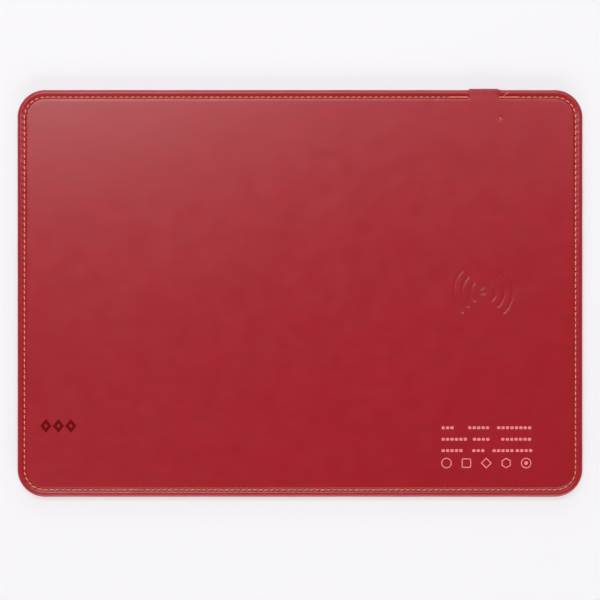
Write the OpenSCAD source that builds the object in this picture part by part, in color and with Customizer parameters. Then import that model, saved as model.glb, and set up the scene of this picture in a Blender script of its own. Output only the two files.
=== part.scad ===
// Wireless charging desk pad, as the pieces it comes apart into.
// Millimetres, +Z up, origin under the middle of the pad, +Y towards the inlet edge.

/* [Pad] */
// Width of the pad, left to right
pad_w = 300; // [290:1:420]
// Depth of the pad, front edge to inlet edge
pad_d = 216; // [206:1:300]
// Radius of the pad's corners
corner_r = 14.7; // [13:0.1:30]

/* [Layers] */
// Thickness of the non-slip sheet underneath
base_t = 0.8; // [0.6:0.1:1.2]
// How far the non-slip sheet stays inside the pad's outline
base_inset = 2.2; // [2:0.1:3]
// Thickness of the core board
core_t = 3.2; // [3:0.1:3.4]
// Thickness of the foam between the core board and the leather
foam_t = 1; // [0.8:0.1:1.2]
// Thickness of the leather
leather_t = 0.8; // [0.7:0.1:0.9]
// Width of the leather that is turned under the core board
turn_in = 12; // [8:0.5:12]

/* [Seam] */
// Distance of the seam from the pad's outline
seam_inset = 4; // [3.8:0.1:4.2]
// Length of one stitch with its gap
stitch_pitch = 3; // [2.5:0.1:5]
// Visible length of one stitch
stitch_l = 2.1; // [1.5:0.1:2.3]
// Width of the thread as it lies
thread_w = 0.6; // [0.4:0.05:0.65]
// Depth of the groove that the stitches pull into the leather
groove_depth = 0.6; // [0.5:0.05:0.65]
// Length of seam left open over the inlet
seam_gap = 13.6; // [13.6:0.1:20]

/* [Charger module] */
// Distance of the charger's centre line from the middle of the pad
module_x = 97; // [80:1:100]
// Distance of the coil's centre from the middle of the pad, towards the inlet edge
coil_y = 1; // [-10:1:10]
// Radius of the round end of the case
case_r = 30; // [30:1:36]
// Width of the straight part of the case
case_w = 44; // [44:1:50]
// Width of the inlet's collar, which reaches from the case to the pad's edge
collar_w = 13; // [13:0.1:13.4]
// How far the collar stands out of the pad's outline
collar_out = 0.5; // [0.3:0.1:1]
// Wall thickness of the case
case_wall = 1; // [1:0.1:1.2]
// Thickness of the case's floor and of its roof
case_skin = 0.6; // [0.5:0.05:0.65]
// Clearance between the case and the pocket it lies in
pocket_gap = 0.2; // [0.1:0.05:0.3]

/* [Coil] */
// Number of turns
coil_turns = 10; // [6:1:10]
// Radius of the hole in the middle of the coil
coil_hole_r = 10.25; // [9:0.25:10.25]
// Distance from one turn to the next
coil_pitch = 1.4; // [1.3:0.05:1.4]
// Width of the wire
wire_w = 1.28; // [1:0.02:1.28]
// Height of the wire
wire_h = 1.1; // [0.9:0.1:1.2]
// Radius of the ferrite plate
ferrite_r = 26.5; // [25.5:0.1:26.5]
// Thickness of the ferrite plate
ferrite_t = 0.8; // [0.5:0.1:0.9]

/* [Board] */
// Width of the circuit board
board_w = 39; // [39:0.5:41]
// Thickness of the circuit board
board_t = 0.6; // [0.6:0.05:0.6]
// Distance of the screws from the centre line
screw_x = 16.6; // [16:0.1:16.8]
// Radius of the screw's shank
screw_r = 0.7; // [0.6:0.05:0.8]
// Sideways place of the status light, from the centre line
light_x = 9.2; // [8.5:0.1:10]
// Distance of the status light from the pad's outline
light_inset = 15.2; // [15.2:0.1:16]

/* [Charging mark] */
// Radius of the innermost pair of arcs
mark_r = 6.6; // [5:0.1:8]
// Distance from one arc to the next
mark_step = 4.5; // [3:0.1:5]
// Width of an arc's groove
mark_w = 1.2; // [0.8:0.1:2]
// Depth of an arc's groove
mark_depth = 0.25; // [0.1:0.05:0.4]
// Half of the angle that each arc spans
mark_half_angle = 44; // [20:1:60]

/* [Hidden] */
$fn = 64;
eps = 0.01;

// Heights of the layers, from the desk up.
z_core = base_t;
z_turned = z_core + 0.6;
z_foam = z_core + core_t;
z_leather = z_foam + foam_t;
pad_h = z_leather + leather_t;

// Half sizes of the pad, and of its middle inside the turned-under border.
half_w = pad_w / 2;
half_d = pad_d / 2;

// Charger case: the mid plane is where tray and lid meet, and the inlet's centre line.
case_h = z_leather - z_core;
z_mid = z_core + case_h / 2;
z_floor = z_core + case_skin;
z_roof = z_leather - case_skin;
case_end = half_d - 12.5;
collar_end = half_d + collar_out;
cover_back = half_d - 10;
lip_t = case_wall / 2;
lip_h = 0.5;
lip_gap = 0.03;

// Circuit board, on the mid plane.
z_board = z_mid - board_t / 2;
z_board_top = z_mid + board_t / 2;
board_low = coil_y + 32;
board_high = case_end - case_wall - 1;
screw_ys = [board_low + 4, board_high - 8];
board_hole_r = screw_r + 0.15;
boss_r = 1.7;
screw_head_r = 1.4;
screw_clear = 0.02;

// USB inlet: opening 8.34 by 2.56, shell 0.3 thick.
mouth_w = 8.34;
mouth_h = 2.56;
shell_t = 0.3;
shell_back = half_d - 7;
shell_front = collar_end - 0.3;
shell_l = shell_front - shell_back;
shell_clear = 0.04;
tongue_w = 6.69;
tongue_t = 0.7;
tongue_root = shell_back + 2;
tongue_front = shell_front - 0.7;
contact_pitch = 0.5;
contact_count = 12;
contact_w = 0.26;
contact_t = 0.1;
contact_back = shell_back - 1.1;
contact_front = tongue_front - 0.4;
finger_l = 5;
finger_x = collar_w / 2 - 1.1;
collar_fit = 0.05;
tab_l = 1.6;

// Status light.
light_at = [module_x + light_x, half_d - light_inset];
led_h = 0.5;
guide_r = 0.8;
guide_flange_r = 1.3;
guide_tip_r = 0.6;

// Coil stack, from the tray's floor up.
z_ferrite = z_floor;
z_adhesive = z_ferrite + ferrite_t;
adhesive_t = 0.1;
z_coil = z_adhesive + adhesive_t;
z_over_coil = z_coil + wire_h;
coil_start_r = coil_hole_r + wire_w / 2;
coil_end_r = coil_start_r + coil_turns * coil_pitch;
coil_steps = 30;
lead_r = 0.3;
lead_x = 4;
bead_wire_r = 0.15;
bead_wire_x = 0.45;
sensor_r = 0.85;

// Outline of the leather's border, x = 0 at the pad's outline, drawn outside first.
bead_r = 1.9;
under_r = 1.2;
bead_top = pad_h - 0.25;
z_groove = pad_h - groove_depth;
groove_half = 0.45;
rim_under = 0.5;

/* Path round the pad */

// Straight lengths of the outline, and the round length at one corner, `inset` inside it.
run_x = pad_w - 2 * corner_r;
run_y = pad_d - 2 * corner_r;
function run_arc(inset) = PI / 2 * (corner_r - inset);
function path_length(inset) = 2 * (run_x + run_y) + 4 * run_arc(inset);

// One quarter of the path: a straight stretch of length `run`, then a round corner.
// Gives [x, y, heading] with the stretch along +X through y = 0 and the pad below it.
function along_quarter(s, run, inset) =
    let (r = corner_r - inset, turn = (s - run) / r * 180 / PI)
    s < run ? [s, 0, 0] : [run + r * sin(turn), r * cos(turn) - r, -turn];

// Turns a point about the pad's middle by a whole number of right angles.
function turned(p, quarters) =
    let (a = -90 * quarters, c = cos(a), s = sin(a))
    [p[0] * c - p[1] * s, p[0] * s + p[1] * c, p[2] + a];

// Point on the path at distance s, clockwise from the left end of the inlet edge.
function along_path(s, inset, quarter = 0) =
    let (run = quarter % 2 == 0 ? run_x : run_y,
        across = quarter % 2 == 0 ? half_d : half_w,
        one = run + run_arc(inset))
    s < one || quarter == 3
        ? let (p = along_quarter(s, run, inset))
            turned([p[0] - run / 2, p[1] + across - inset, p[2]], quarter)
        : along_path(s - one, inset, quarter + 1);

// Rounded oblong of the pad's outline, pulled in by `inset`.
module pad_outline(inset) {
    r = corner_r - inset;
    for (x = [-1, 1], y = [-1, 1])
        translate([x * (half_w - corner_r), y * (half_d - corner_r)]) circle(r = r);
    square([2 * (half_w - corner_r), 2 * (half_d - inset)], center = true);
    square([2 * (half_w - inset), 2 * (half_d - corner_r)], center = true);
}

// Plate with the pad's outline.
module pad_plate(inset, z, t) {
    translate([0, 0, z]) linear_extrude(t) pad_outline(inset);
}

// Carries a border profile round the whole outline: x = 0 is the outline, inside is negative.
module carry_round() {
    for (side = [0:3]) {
        run = side % 2 == 0 ? run_x : run_y;
        across = side % 2 == 0 ? half_d : half_w;
        rotate([0, 0, -90 * side]) {
            translate([-run / 2, across, 0]) rotate([90, 0, 90]) linear_extrude(run) children();
            translate([run / 2, across - corner_r, 0]) rotate_extrude(angle = 90)
                translate([corner_r, 0]) children();
        }
    }
}

/* Border profiles */

function arc_points(c, r, a0, a1, n = 8) = [for (i = [0:n]) c + r * [cos(a0 + (a1 - a0) * i / n),
    sin(a0 + (a1 - a0) * i / n)]];

// Face that the leather shows, from the border's inner edge over the bead to the underside.
leather_face = concat(
    [[-turn_in, pad_h], [-seam_inset - 2, pad_h], [-seam_inset - groove_half, z_groove],
        [-seam_inset + groove_half, z_groove]],
    arc_points([-bead_r, bead_top - bead_r], bead_r, 90, 0),
    arc_points([-under_r, rim_under + under_r], under_r, 0, -90),
    [[-base_inset, z_core], [-turn_in, z_core]]);

// Inner face of the leather, which the foam and the core board fill.
under_bead = [-bead_r - 0.3, bead_top - leather_t - 0.15];
foam_edge = [[-seam_inset - 1.4, z_leather], [-seam_inset - groove_half, z_groove - leather_t],
    [-seam_inset + groove_half, z_groove - leather_t], under_bead, [-leather_t - 0.7, z_foam]];
core_edge = [[-leather_t - 0.7, z_foam], [-leather_t, z_foam - 0.7], [-leather_t, z_turned + 0.4],
    [-leather_t - 0.4, z_turned]];

module leather_profile() {
    polygon(concat(leather_face, [[-turn_in, z_turned]],
        [for (i = [len(core_edge) - 1:-1:0]) core_edge[i]],
        [for (i = [len(foam_edge) - 2:-1:0]) foam_edge[i]], [[-turn_in, z_leather]]));
}

module foam_profile() {
    polygon(concat([[-turn_in, z_foam], [-turn_in, z_leather]], foam_edge));
}

module core_profile() {
    polygon(concat([[-turn_in, z_turned], [-turn_in, z_foam]], core_edge));
}

/* Charger case outline */

// Keyhole shape of the case: round end and straight part, pulled in by `inset`.
module case_outline(inset) {
    translate([module_x, coil_y]) circle(r = case_r - inset, $fn = 96);
    translate([module_x - case_w / 2 + inset, coil_y])
        square([case_w - 2 * inset, case_end - coil_y - inset]);
}

// Block along the inlet's centre line, `side` wider than the collar on each side.
module collar_block(side, y0, y1, z0, z1) {
    translate([module_x - collar_w / 2 - side, y0, z0]) cube([collar_w + 2 * side, y1 - y0, z1 - z0]);
}

// Pocket for the case and the collar, with clearance and with room for the leather beside it.
module pocket() {
    translate([0, 0, z_core - 1]) linear_extrude(case_h + 2) case_outline(-pocket_gap);
    collar_block(pocket_gap, case_end - 1, collar_end + 1, z_core - 1, z_leather + 1);
    collar_block(leather_t, cover_back, collar_end + 1, z_core - 1, z_leather + 1);
}

/* Outer layers */

module base_sheet() {
    color([0.13, 0.13, 0.14]) difference() {
        pad_plate(base_inset, 0, base_t);
        seam_channel();
    }
}

// Channel that the bobbin thread lies in, in the underside of the non-slip sheet.
module seam_channel() {
    carry_round() translate([-seam_inset - groove_half, -1]) square([2 * groove_half, 1 + 0.5]);
}

module core_board() {
    color([0.62, 0.52, 0.40]) difference() {
        union() {
            pad_plate(turn_in, z_core, core_t);
            carry_round() core_profile();
        }
        pocket();
    }
}

module cushion_foam() {
    color([0.93, 0.91, 0.86]) difference() {
        union() {
            pad_plate(turn_in, z_foam, foam_t);
            carry_round() foam_profile();
        }
        pocket();
    }
}

module top_leather() {
    color([0.63, 0.15, 0.18]) difference() {
        union() {
            pad_plate(turn_in, z_leather, leather_t);
            carry_round() leather_profile();
            collar_block(leather_t, cover_back, collar_end, z_core + eps, pad_h);
        }
        collar_block(pocket_gap, case_end - 4, collar_end + 1, z_core - 1, z_leather);
        charging_mark();
        translate([light_at[0], light_at[1], z_leather - 1]) cylinder(r = guide_tip_r + 0.05, h = 3);
    }
}

// Three arcs on each side of a plain ring, pressed into the leather over the coil.
module charging_mark() {
    translate([module_x, coil_y, pad_h - mark_depth]) {
        for (side = [0, 180], i = [0:2])
            rotate([0, 0, side - mark_half_angle]) rotate_extrude(angle = 2 * mark_half_angle)
                translate([mark_r + i * mark_step - mark_w / 2, 0]) square([mark_w, 1]);
        difference() {
            cylinder(r = 2, h = 1);
            translate([0, 0, -1]) cylinder(r = 1.1, h = 3);
        }
    }
}

/* Seam */

// One stitch at each step along the seam, except over the inlet.
module stitches(z, h) {
    total = path_length(seam_inset);
    count = round(total / stitch_pitch);
    for (i = [0:count - 1]) {
        p = along_path((i + 0.5) * total / count, seam_inset);
        over_inlet = p[1] > 0 && abs(p[0] - module_x) < seam_gap / 2 && abs(p[2]) < 1;
        if (!over_inlet)
            translate([p[0], p[1], z]) rotate([0, 0, p[2]])
                translate([-stitch_l / 2, -thread_w / 2, 0]) cube([stitch_l, thread_w, h]);
    }
}

module needle_thread() {
    color([0.93, 0.50, 0.36]) stitches(z_groove, 0.42);
}

module bobbin_thread() {
    color([0.93, 0.50, 0.36]) stitches(0.08, 0.42);
}

/* Charger case */

// Space that the inlet's shell takes out of the collar.
module inlet_space() {
    translate([module_x, shell_back - 0.3, z_mid]) rotate([-90, 0, 0])
        linear_extrude(shell_l + 2) stadium(mouth_w + 2 * (shell_t + shell_clear),
            mouth_h + 2 * (shell_t + shell_clear));
}

// Oblong with round ends, w by h.
module stadium(w, h) {
    square([w - h, h], center = true);
    for (x = [-1, 1]) translate([x * (w - h) / 2, 0]) circle(r = h / 2, $fn = 48);
}

// Places its children on the four screws.
module at_screws() {
    for (x = [-1, 1], y = screw_ys) translate([module_x + x * screw_x, y, 0]) children();
}

module module_tray() {
    color([0.16, 0.16, 0.18]) difference() {
        union() {
            translate([0, 0, z_core]) linear_extrude(case_skin) case_outline(0);
            translate([0, 0, z_floor]) linear_extrude(z_mid - lip_h - z_floor)
                case_wall_outline(0, case_wall);
            translate([0, 0, z_mid - lip_h]) linear_extrude(lip_h) case_wall_outline(0, lip_t);
            at_screws() translate([0, 0, z_floor - eps]) cylinder(r = boss_r, h = z_board - z_floor + eps);
            coil_fence();
        }
        collar_neck(-collar_fit);
        at_screws() {
            translate([0, 0, z_core - 1]) cylinder(r = screw_r + screw_clear, h = case_h);
            translate([0, 0, z_core - eps]) cylinder(r1 = screw_head_r + screw_clear,
                r2 = screw_r + screw_clear, h = case_skin + eps);
        }
    }
}

// Wall of the case between two insets.
module case_wall_outline(inset_out, inset_in) {
    difference() {
        case_outline(inset_out);
        case_outline(inset_in);
    }
}

// Low ring on the floor that centres the ferrite plate, open towards the board.
module coil_fence() {
    translate([module_x, coil_y, z_floor - eps]) difference() {
        cylinder(r = ferrite_r + 0.9, h = ferrite_t + eps);
        translate([0, 0, -1]) cylinder(r = ferrite_r + 0.1, h = 3);
        translate([-8, 0, -1]) cube([16, 40, 4]);
    }
}

module module_lid() {
    color([0.16, 0.16, 0.18]) difference() {
        union() {
            translate([0, 0, z_roof]) linear_extrude(case_skin) case_outline(0);
            translate([0, 0, z_mid]) linear_extrude(z_roof - z_mid) case_wall_outline(0, case_wall);
            translate([0, 0, z_mid - lip_h + lip_gap]) linear_extrude(lip_h - lip_gap + eps)
                case_wall_outline(lip_t + lip_gap, case_wall);
            at_screws() translate([0, 0, z_board_top]) cylinder(r = boss_r, h = z_roof - z_board_top + eps);
        }
        collar_neck(-collar_fit);
        at_screws() translate([0, 0, z_mid]) cylinder(r = screw_r + screw_clear, h = z_roof - z_mid);
        translate([light_at[0], light_at[1], z_mid]) cylinder(r = guide_r + 0.05, h = case_h);
    }
}

module module_screws() {
    color([0.72, 0.73, 0.75]) at_screws() difference() {
        union() {
            translate([0, 0, z_core]) cylinder(r1 = screw_head_r, r2 = screw_r, h = case_skin);
            translate([0, 0, z_floor - eps]) cylinder(r = screw_r, h = z_roof - z_floor - 0.1);
        }
        for (a = [0, 90]) rotate([0, 0, a]) translate([-0.75, -0.15, z_core - 1]) cube([1.5, 0.3, 1.35]);
    }
}

/* Inlet */

// Part of the collar that passes through the case's end wall, pulled in by `inset`.
module collar_neck(inset) {
    w = collar_w - 1 - 2 * inset;
    translate([module_x - w / 2, case_end - case_wall - 1, z_floor + inset + collar_fit])
        cube([w, case_wall + 1.5, z_roof - z_floor - 2 * (inset + collar_fit)]);
}

// Collar that frames the inlet at the pad's edge and clips into the case's end wall.
module inlet_collar() {
    back = case_end - case_wall - 0.8;
    color([0.10, 0.10, 0.11]) difference() {
        union() {
            collar_block(0, case_end, collar_end, z_core, z_leather);
            intersection() {
                collar_neck(0);
                collar_block(0, back, case_end + eps, z_core, z_leather);
            }
            collar_block(0.5, back, case_end - case_wall - 0.1, z_floor + collar_fit, z_roof - collar_fit);
        }
        collar_block(finger_x + 0.1 - collar_w / 2, back - 1, shell_back + finger_l + 0.1,
            z_floor + 0.4, z_roof - 0.4);
        inlet_space();
    }
}

module usb_shell() {
    color([0.80, 0.81, 0.83]) {
        translate([module_x, shell_back, z_mid]) rotate([-90, 0, 0]) linear_extrude(shell_l)
            difference() {
                stadium(mouth_w + 2 * shell_t, mouth_h + 2 * shell_t);
                stadium(mouth_w, mouth_h);
            }
        for (side = [0, 1], y = [0.6, finger_l - tab_l - 0.4])
            translate([module_x, shell_back + y, z_board_top]) mirror([side, 0, 0])
                translate([mouth_w / 2, 0, 0]) cube([finger_x - mouth_w / 2, tab_l, shell_t]);
    }
}

// Contact strips, one row on each face of the tongue, with tails that reach the board.
module contact_strips() {
    for (row = [-1, 1], i = [0:contact_count - 1])
        translate([module_x + (i - (contact_count - 1) / 2) * contact_pitch - contact_w / 2,
            contact_back, z_mid + row * (tongue_t + contact_t) / 2 - contact_t / 2])
            cube([contact_w, contact_front - contact_back, contact_t]);
}

module usb_tongue() {
    color([0.08, 0.08, 0.09]) difference() {
        union() {
            translate([module_x, shell_back, z_mid]) rotate([-90, 0, 0])
                linear_extrude(tongue_root - shell_back) stadium(mouth_w - 0.04, mouth_h - 0.04);
            translate([module_x - tongue_w / 2, tongue_root - eps, z_mid - tongue_t / 2])
                cube([tongue_w, tongue_front - tongue_root, tongue_t]);
        }
        contact_strips();
    }
}

module usb_contacts() {
    color([0.86, 0.70, 0.36]) contact_strips();
}

/* Board and what is on it */

// Places its children on the board's upper face, at [across, along, turn].
module on_board(places) {
    for (p = places) translate([module_x + p[0], board_low + p[1], z_board_top])
        rotate([0, 0, p[2]]) children();
}

// Box that stands on z = 0, centred sideways.
module block(w, d, h) {
    translate([-w / 2, -d / 2, 0]) cube([w, d, h]);
}

// Two-ended surface part: a body between two end caps that stand a little proud.
module chip_part(l, w, h, cap) {
    block(l - 2 * cap, w - 0.08, h - 0.04);
    for (side = [-1, 1]) translate([side * (l - cap) / 2, 0, 0]) block(cap, w, h);
}

// Moulded chip with sloping sides and a dimple at its first pin.
module moulded_chip(w, d, h) {
    difference() {
        union() {
            block(w, d, h * 0.4);
            translate([0, 0, h * 0.4 - eps]) block(w - 0.16, d - 0.16, h * 0.6 + eps);
        }
        translate([-w / 2 + 0.7, d / 2 - 0.7, h - 0.08]) cylinder(r = 0.25, h = 1);
    }
}

module circuit_board() {
    color([0.05, 0.30, 0.20]) translate([0, 0, z_board]) linear_extrude(board_t) difference() {
        union() {
            translate([module_x - board_w / 2, board_low]) square([board_w, board_high - board_low]);
            translate([module_x - finger_x, board_high - eps])
                square([2 * finger_x, shell_back + finger_l - board_high]);
        }
        translate([module_x - mouth_w / 2 - shell_t - 0.05, shell_back - 0.05])
            square([mouth_w + 2 * shell_t + 0.1, 20]);
        at_screws() circle(r = board_hole_r);
    }
}

module controller_chip() {
    color([0.09, 0.09, 0.10]) on_board([[-3, 33, 0]]) moulded_chip(5, 5, 0.85);
}

module power_chips() {
    color([0.11, 0.11, 0.12]) {
        on_board([[8, 24, 0], [8, 32, 0]]) moulded_chip(5, 6, 0.9);
        on_board([[-12, 47, 90]]) moulded_chip(3, 3, 0.85);
    }
}

module power_inductor() {
    color([0.30, 0.30, 0.32]) on_board([[-12, 40, 0]]) difference() {
        intersection() {
            block(4.4, 4.4, 1.1);
            rotate([0, 0, 45]) block(5.4, 5.4, 1.1);
        }
        translate([0, 0, 0.95]) difference() {
            cylinder(r = 1.75, h = 1);
            translate([0, 0, -1]) cylinder(r = 1.45, h = 3);
        }
    }
}

module resonant_capacitors() {
    color([0.74, 0.66, 0.52]) on_board([for (i = [0:3]) [-8 + 4 * i, 12, 90]])
        chip_part(3.2, 2.5, 1.1, 0.5);
}

module ceramic_capacitors() {
    color([0.66, 0.52, 0.36])
        on_board(concat([for (i = [0:3]) [-8 + 2 * i, 25, 90]], [for (i = [0:2]) [-7, 44 + 2 * i, 0]],
            [for (i = [0:2]) [13.5, 24 + 4 * i, 90]])) chip_part(1.6, 0.8, 0.8, 0.3);
}

module chip_resistors() {
    color([0.14, 0.14, 0.15])
        on_board(concat([for (i = [0:4]) [1 + 2 * i, 41, 90]], [for (i = [0:3]) [-3 + 2 * i, 50, 90]],
            [[5.6, 59.8, 0]])) chip_part(1.6, 0.8, 0.45, 0.3);
}

module timing_crystal() {
    color([0.78, 0.79, 0.80]) on_board([[-12, 28, 0]]) {
        block(3.2, 2.5, 0.45);
        translate([0, 0, 0.45 - eps]) block(2.9, 2.2, 0.3);
    }
}

module status_led() {
    color([0.95, 0.93, 0.78]) translate([light_at[0], light_at[1], z_board_top]) {
        block(1.6, 0.8, 0.25);
        translate([0, 0, 0.25 - eps]) block(1, 0.8, led_h - 0.25 + eps);
    }
}

module light_guide() {
    color([0.96, 0.88, 0.88, 0.6]) translate([light_at[0], light_at[1], 0]) {
        translate([0, 0, z_board_top + led_h + 0.05])
            cylinder(r = guide_flange_r, h = z_roof - z_board_top - led_h - 0.1);
        translate([0, 0, z_roof - 0.1]) cylinder(r = guide_r, h = z_leather - z_roof + 0.1);
        translate([0, 0, z_leather - eps]) cylinder(r = guide_tip_r, h = leather_t - 0.05);
    }
}

/* Coil */

// Unit vector along v.
function unit(v) = v / norm(v);

// Direction of a path at its point i.
function heading(path, i) = unit(path[min(i + 1, len(path) - 1)] - path[max(i - 1, 0)]);

// Cuts each corner of a path twice, so that it runs smoothly between its own end points.
function cut_corners(path, times = 2) = times == 0 ? path :
    cut_corners(concat([path[0]], [for (i = [0:len(path) - 2], t = [0.25, 0.75])
        path[i] + (path[i + 1] - path[i]) * t], [path[len(path) - 1]]), times - 1);

// Six-sided or more-sided oblong section, w across and h high.
function oblong_section(w, h, sides) = [for (k = [0:sides - 1])
    [w / 2 * cos(360 * k / sides), h / 2 * sin(360 * k / sides)]];

// Sweeps a closed section along a path that never runs straight up.
module sweep(path, section) {
    n = len(section);
    rings = len(path);
    points = [for (i = [0:rings - 1]) let (t = heading(path, i), across = unit(cross(t, [0, 0, 1])),
        up = cross(across, t)) for (q = section) path[i] + across * q[0] + up * q[1]];
    sides = [for (i = [0:rings - 2], k = [0:n - 1]) let (a = i * n + k, b = i * n + (k + 1) % n)
        each [[a, b, b + n], [a, b + n, a + n]]];
    ends = [[for (k = [n - 1:-1:0]) k], [for (k = [0:n - 1]) (rings - 1) * n + k]];
    polyhedron(points, concat(sides, ends));
}

module charging_coil() {
    z = z_coil + wire_h / 2;
    steps = coil_turns * coil_steps;
    spiral = [for (i = [0:steps]) let (a = 90 + 360 * i / coil_steps, r = coil_start_r + coil_pitch
        * i / coil_steps) [r * cos(a), r * sin(a), z]];
    color([0.72, 0.42, 0.20]) translate([module_x, coil_y, 0])
        sweep(spiral, oblong_section(wire_w, wire_h * 1.15, 6));
}

// Two ends of the coil: the outer one bends away to the board, the inner one crosses over the turns.
module coil_leads() {
    z = z_coil + wire_h / 2;
    over = z_over_coil + lead_r + 0.1;
    pad = z_board_top + lead_r + eps;
    outer_end = [[0, coil_end_r, z], [-1.6, coil_end_r + 0.2, z], [-3.4, coil_end_r + 1.2, z],
        [-lead_x, coil_end_r + 3, z + 0.1], [-lead_x, 31, pad], [-lead_x, 35, pad]];
    inner_end = [[0, coil_start_r, z], [1, coil_start_r - 0.5, z], [2.4, coil_start_r - 2, z + 0.2],
        [lead_x, coil_start_r - 2.8, over], [lead_x, coil_start_r, over], [lead_x, 22, over],
        [lead_x, 31, over], [lead_x, 32.5, pad], [lead_x, 35, pad]];
    color([0.78, 0.50, 0.26]) translate([module_x, coil_y, 0]) for (path = [outer_end, inner_end])
        sweep(cut_corners(path), oblong_section(2 * lead_r, 2 * lead_r, 8));
}

module ferrite_plate() {
    color([0.20, 0.20, 0.21]) translate([module_x, coil_y, z_ferrite]) cylinder(r = ferrite_r,
        h = ferrite_t, $fn = 96);
}

module coil_adhesive() {
    color([0.85, 0.80, 0.62]) translate([module_x, coil_y, z_adhesive]) cylinder(r = ferrite_r - 0.6,
        h = adhesive_t, $fn = 96);
}

module thermistor() {
    color([0.10, 0.10, 0.11]) translate([module_x, coil_y, z_coil + sensor_r]) rotate([-90, 0, 0]) {
        sphere(r = sensor_r, $fn = 32);
        cylinder(r = sensor_r * 0.8, h = 1.6, $fn = 32);
    }
}

module thermistor_leads() {
    z = z_coil + sensor_r;
    over = z_over_coil + bead_wire_r + 0.1;
    pad = z_board_top + bead_wire_r;
    color([0.75, 0.20, 0.18]) translate([module_x, coil_y, 0]) for (x = [-bead_wire_x, bead_wire_x])
        sweep(cut_corners([[x, 1.6, z], [x, 4, z], [x, 8, over], [x, 12, over], [x, 31, over],
            [x, 32, pad + 0.1], [x, 33, pad], [x, 34.5, pad]]),
            oblong_section(2 * bead_wire_r, 2 * bead_wire_r, 6));
}

base_sheet();
core_board();
cushion_foam();
top_leather();
needle_thread();
bobbin_thread();
module_tray();
module_lid();
module_screws();
inlet_collar();
circuit_board();
usb_shell();
usb_tongue();
usb_contacts();
controller_chip();
power_chips();
power_inductor();
resonant_capacitors();
ceramic_capacitors();
chip_resistors();
timing_crystal();
status_led();
light_guide();
ferrite_plate();
coil_adhesive();
charging_coil();
coil_leads();
thermistor();
thermistor_leads();
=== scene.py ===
"""Wireless charging desk pad: stitched leather cover, printing, and the charger inside it."""

import math

import bpy
import numpy as np
from mathutils import Matrix, Vector, geometry, noise


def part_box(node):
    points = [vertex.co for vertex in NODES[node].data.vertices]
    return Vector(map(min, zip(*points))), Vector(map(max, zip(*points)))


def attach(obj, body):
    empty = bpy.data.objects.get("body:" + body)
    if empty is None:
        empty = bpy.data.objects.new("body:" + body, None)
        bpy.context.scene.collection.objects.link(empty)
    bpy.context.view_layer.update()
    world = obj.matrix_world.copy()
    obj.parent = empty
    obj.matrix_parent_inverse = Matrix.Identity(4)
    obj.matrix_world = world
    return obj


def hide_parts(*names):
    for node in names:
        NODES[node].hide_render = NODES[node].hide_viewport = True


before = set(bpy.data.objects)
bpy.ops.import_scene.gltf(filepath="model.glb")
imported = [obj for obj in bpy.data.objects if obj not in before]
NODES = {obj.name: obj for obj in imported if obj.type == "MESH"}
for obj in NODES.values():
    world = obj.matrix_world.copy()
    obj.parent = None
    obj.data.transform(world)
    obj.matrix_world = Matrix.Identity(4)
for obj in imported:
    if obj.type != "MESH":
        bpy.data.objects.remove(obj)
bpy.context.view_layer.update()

bl_info = {
    "name": "Wireless Charging Desk Pad",
    "version": (1, 0, 0),
    "blender": (4, 5, 0),
    "location": "3D View > Sidebar > Charging Pad",
    "description": "Builds the leather, thread, print and inner finishes of a wireless charging desk pad",
    "category": "Add Mesh",
}

MM = 0.001
BODY = "root"


# ------------------------------------------------------------------ places, in millimetres

def span(node):
    """Lowest and highest corner of a CAD node, in millimetres."""
    return tuple(np.round(np.array(corner) / MM, 3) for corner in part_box(node))


def middle(node):
    """Middle of a CAD node's box, in millimetres."""
    low, high = span(node)
    return np.round((low + high) / 2, 1)


COVER_LOW, COVER_HIGH = span("top_leather")
SHEET_LOW, SHEET_HIGH = span("base_sheet")
COLLAR_END = span("inlet_collar")[1][1]
HALF_W = -COVER_LOW[0]
HALF_D = -COVER_LOW[1]
PAD_H = COVER_HIGH[2]
RIM_UNDER = COVER_LOW[2]
COVER_OUT = COVER_HIGH[1] - HALF_D
SHEET_T = SHEET_HIGH[2]
SHEET_INSET = HALF_D + SHEET_LOW[1]
Z_FOAM = span("cushion_foam")[0][2]
Z_LEATHER = span("cushion_foam")[1][2]
Z_GROOVE = span("needle_thread")[0][2] + 0.1
Z_BOBBIN = middle("bobbin_thread")[2]
INLET_X = middle("inlet_collar")[0]
COIL_X, COIL_Y, _ = middle("ferrite_plate")
LIGHT_X, LIGHT_Y, _ = middle("light_guide")


# ------------------------------------------------------------------ sizes and colours that a user sets

def length_prop(name, description, default):
    """A length in millimetres."""
    return bpy.props.FloatProperty(name=name, description=description, default=default,
                                   min=0.0, soft_max=1000.0, precision=2)


def colour_prop(name, description, red, green, blue):
    """A colour from its everyday 0 to 255 values."""
    return bpy.props.FloatVectorProperty(name=name, description=description, subtype="COLOR", size=3,
                                         min=0.0, max=1.0, default=linear(red, green, blue))


def linear(red, green, blue):
    """Linear colour from 0 to 255 display values."""
    parts = [value / 255 for value in (red, green, blue)]
    return tuple(p / 12.92 if p <= 0.04045 else ((p + 0.055) / 1.055) ** 2.4 for p in parts)


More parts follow.
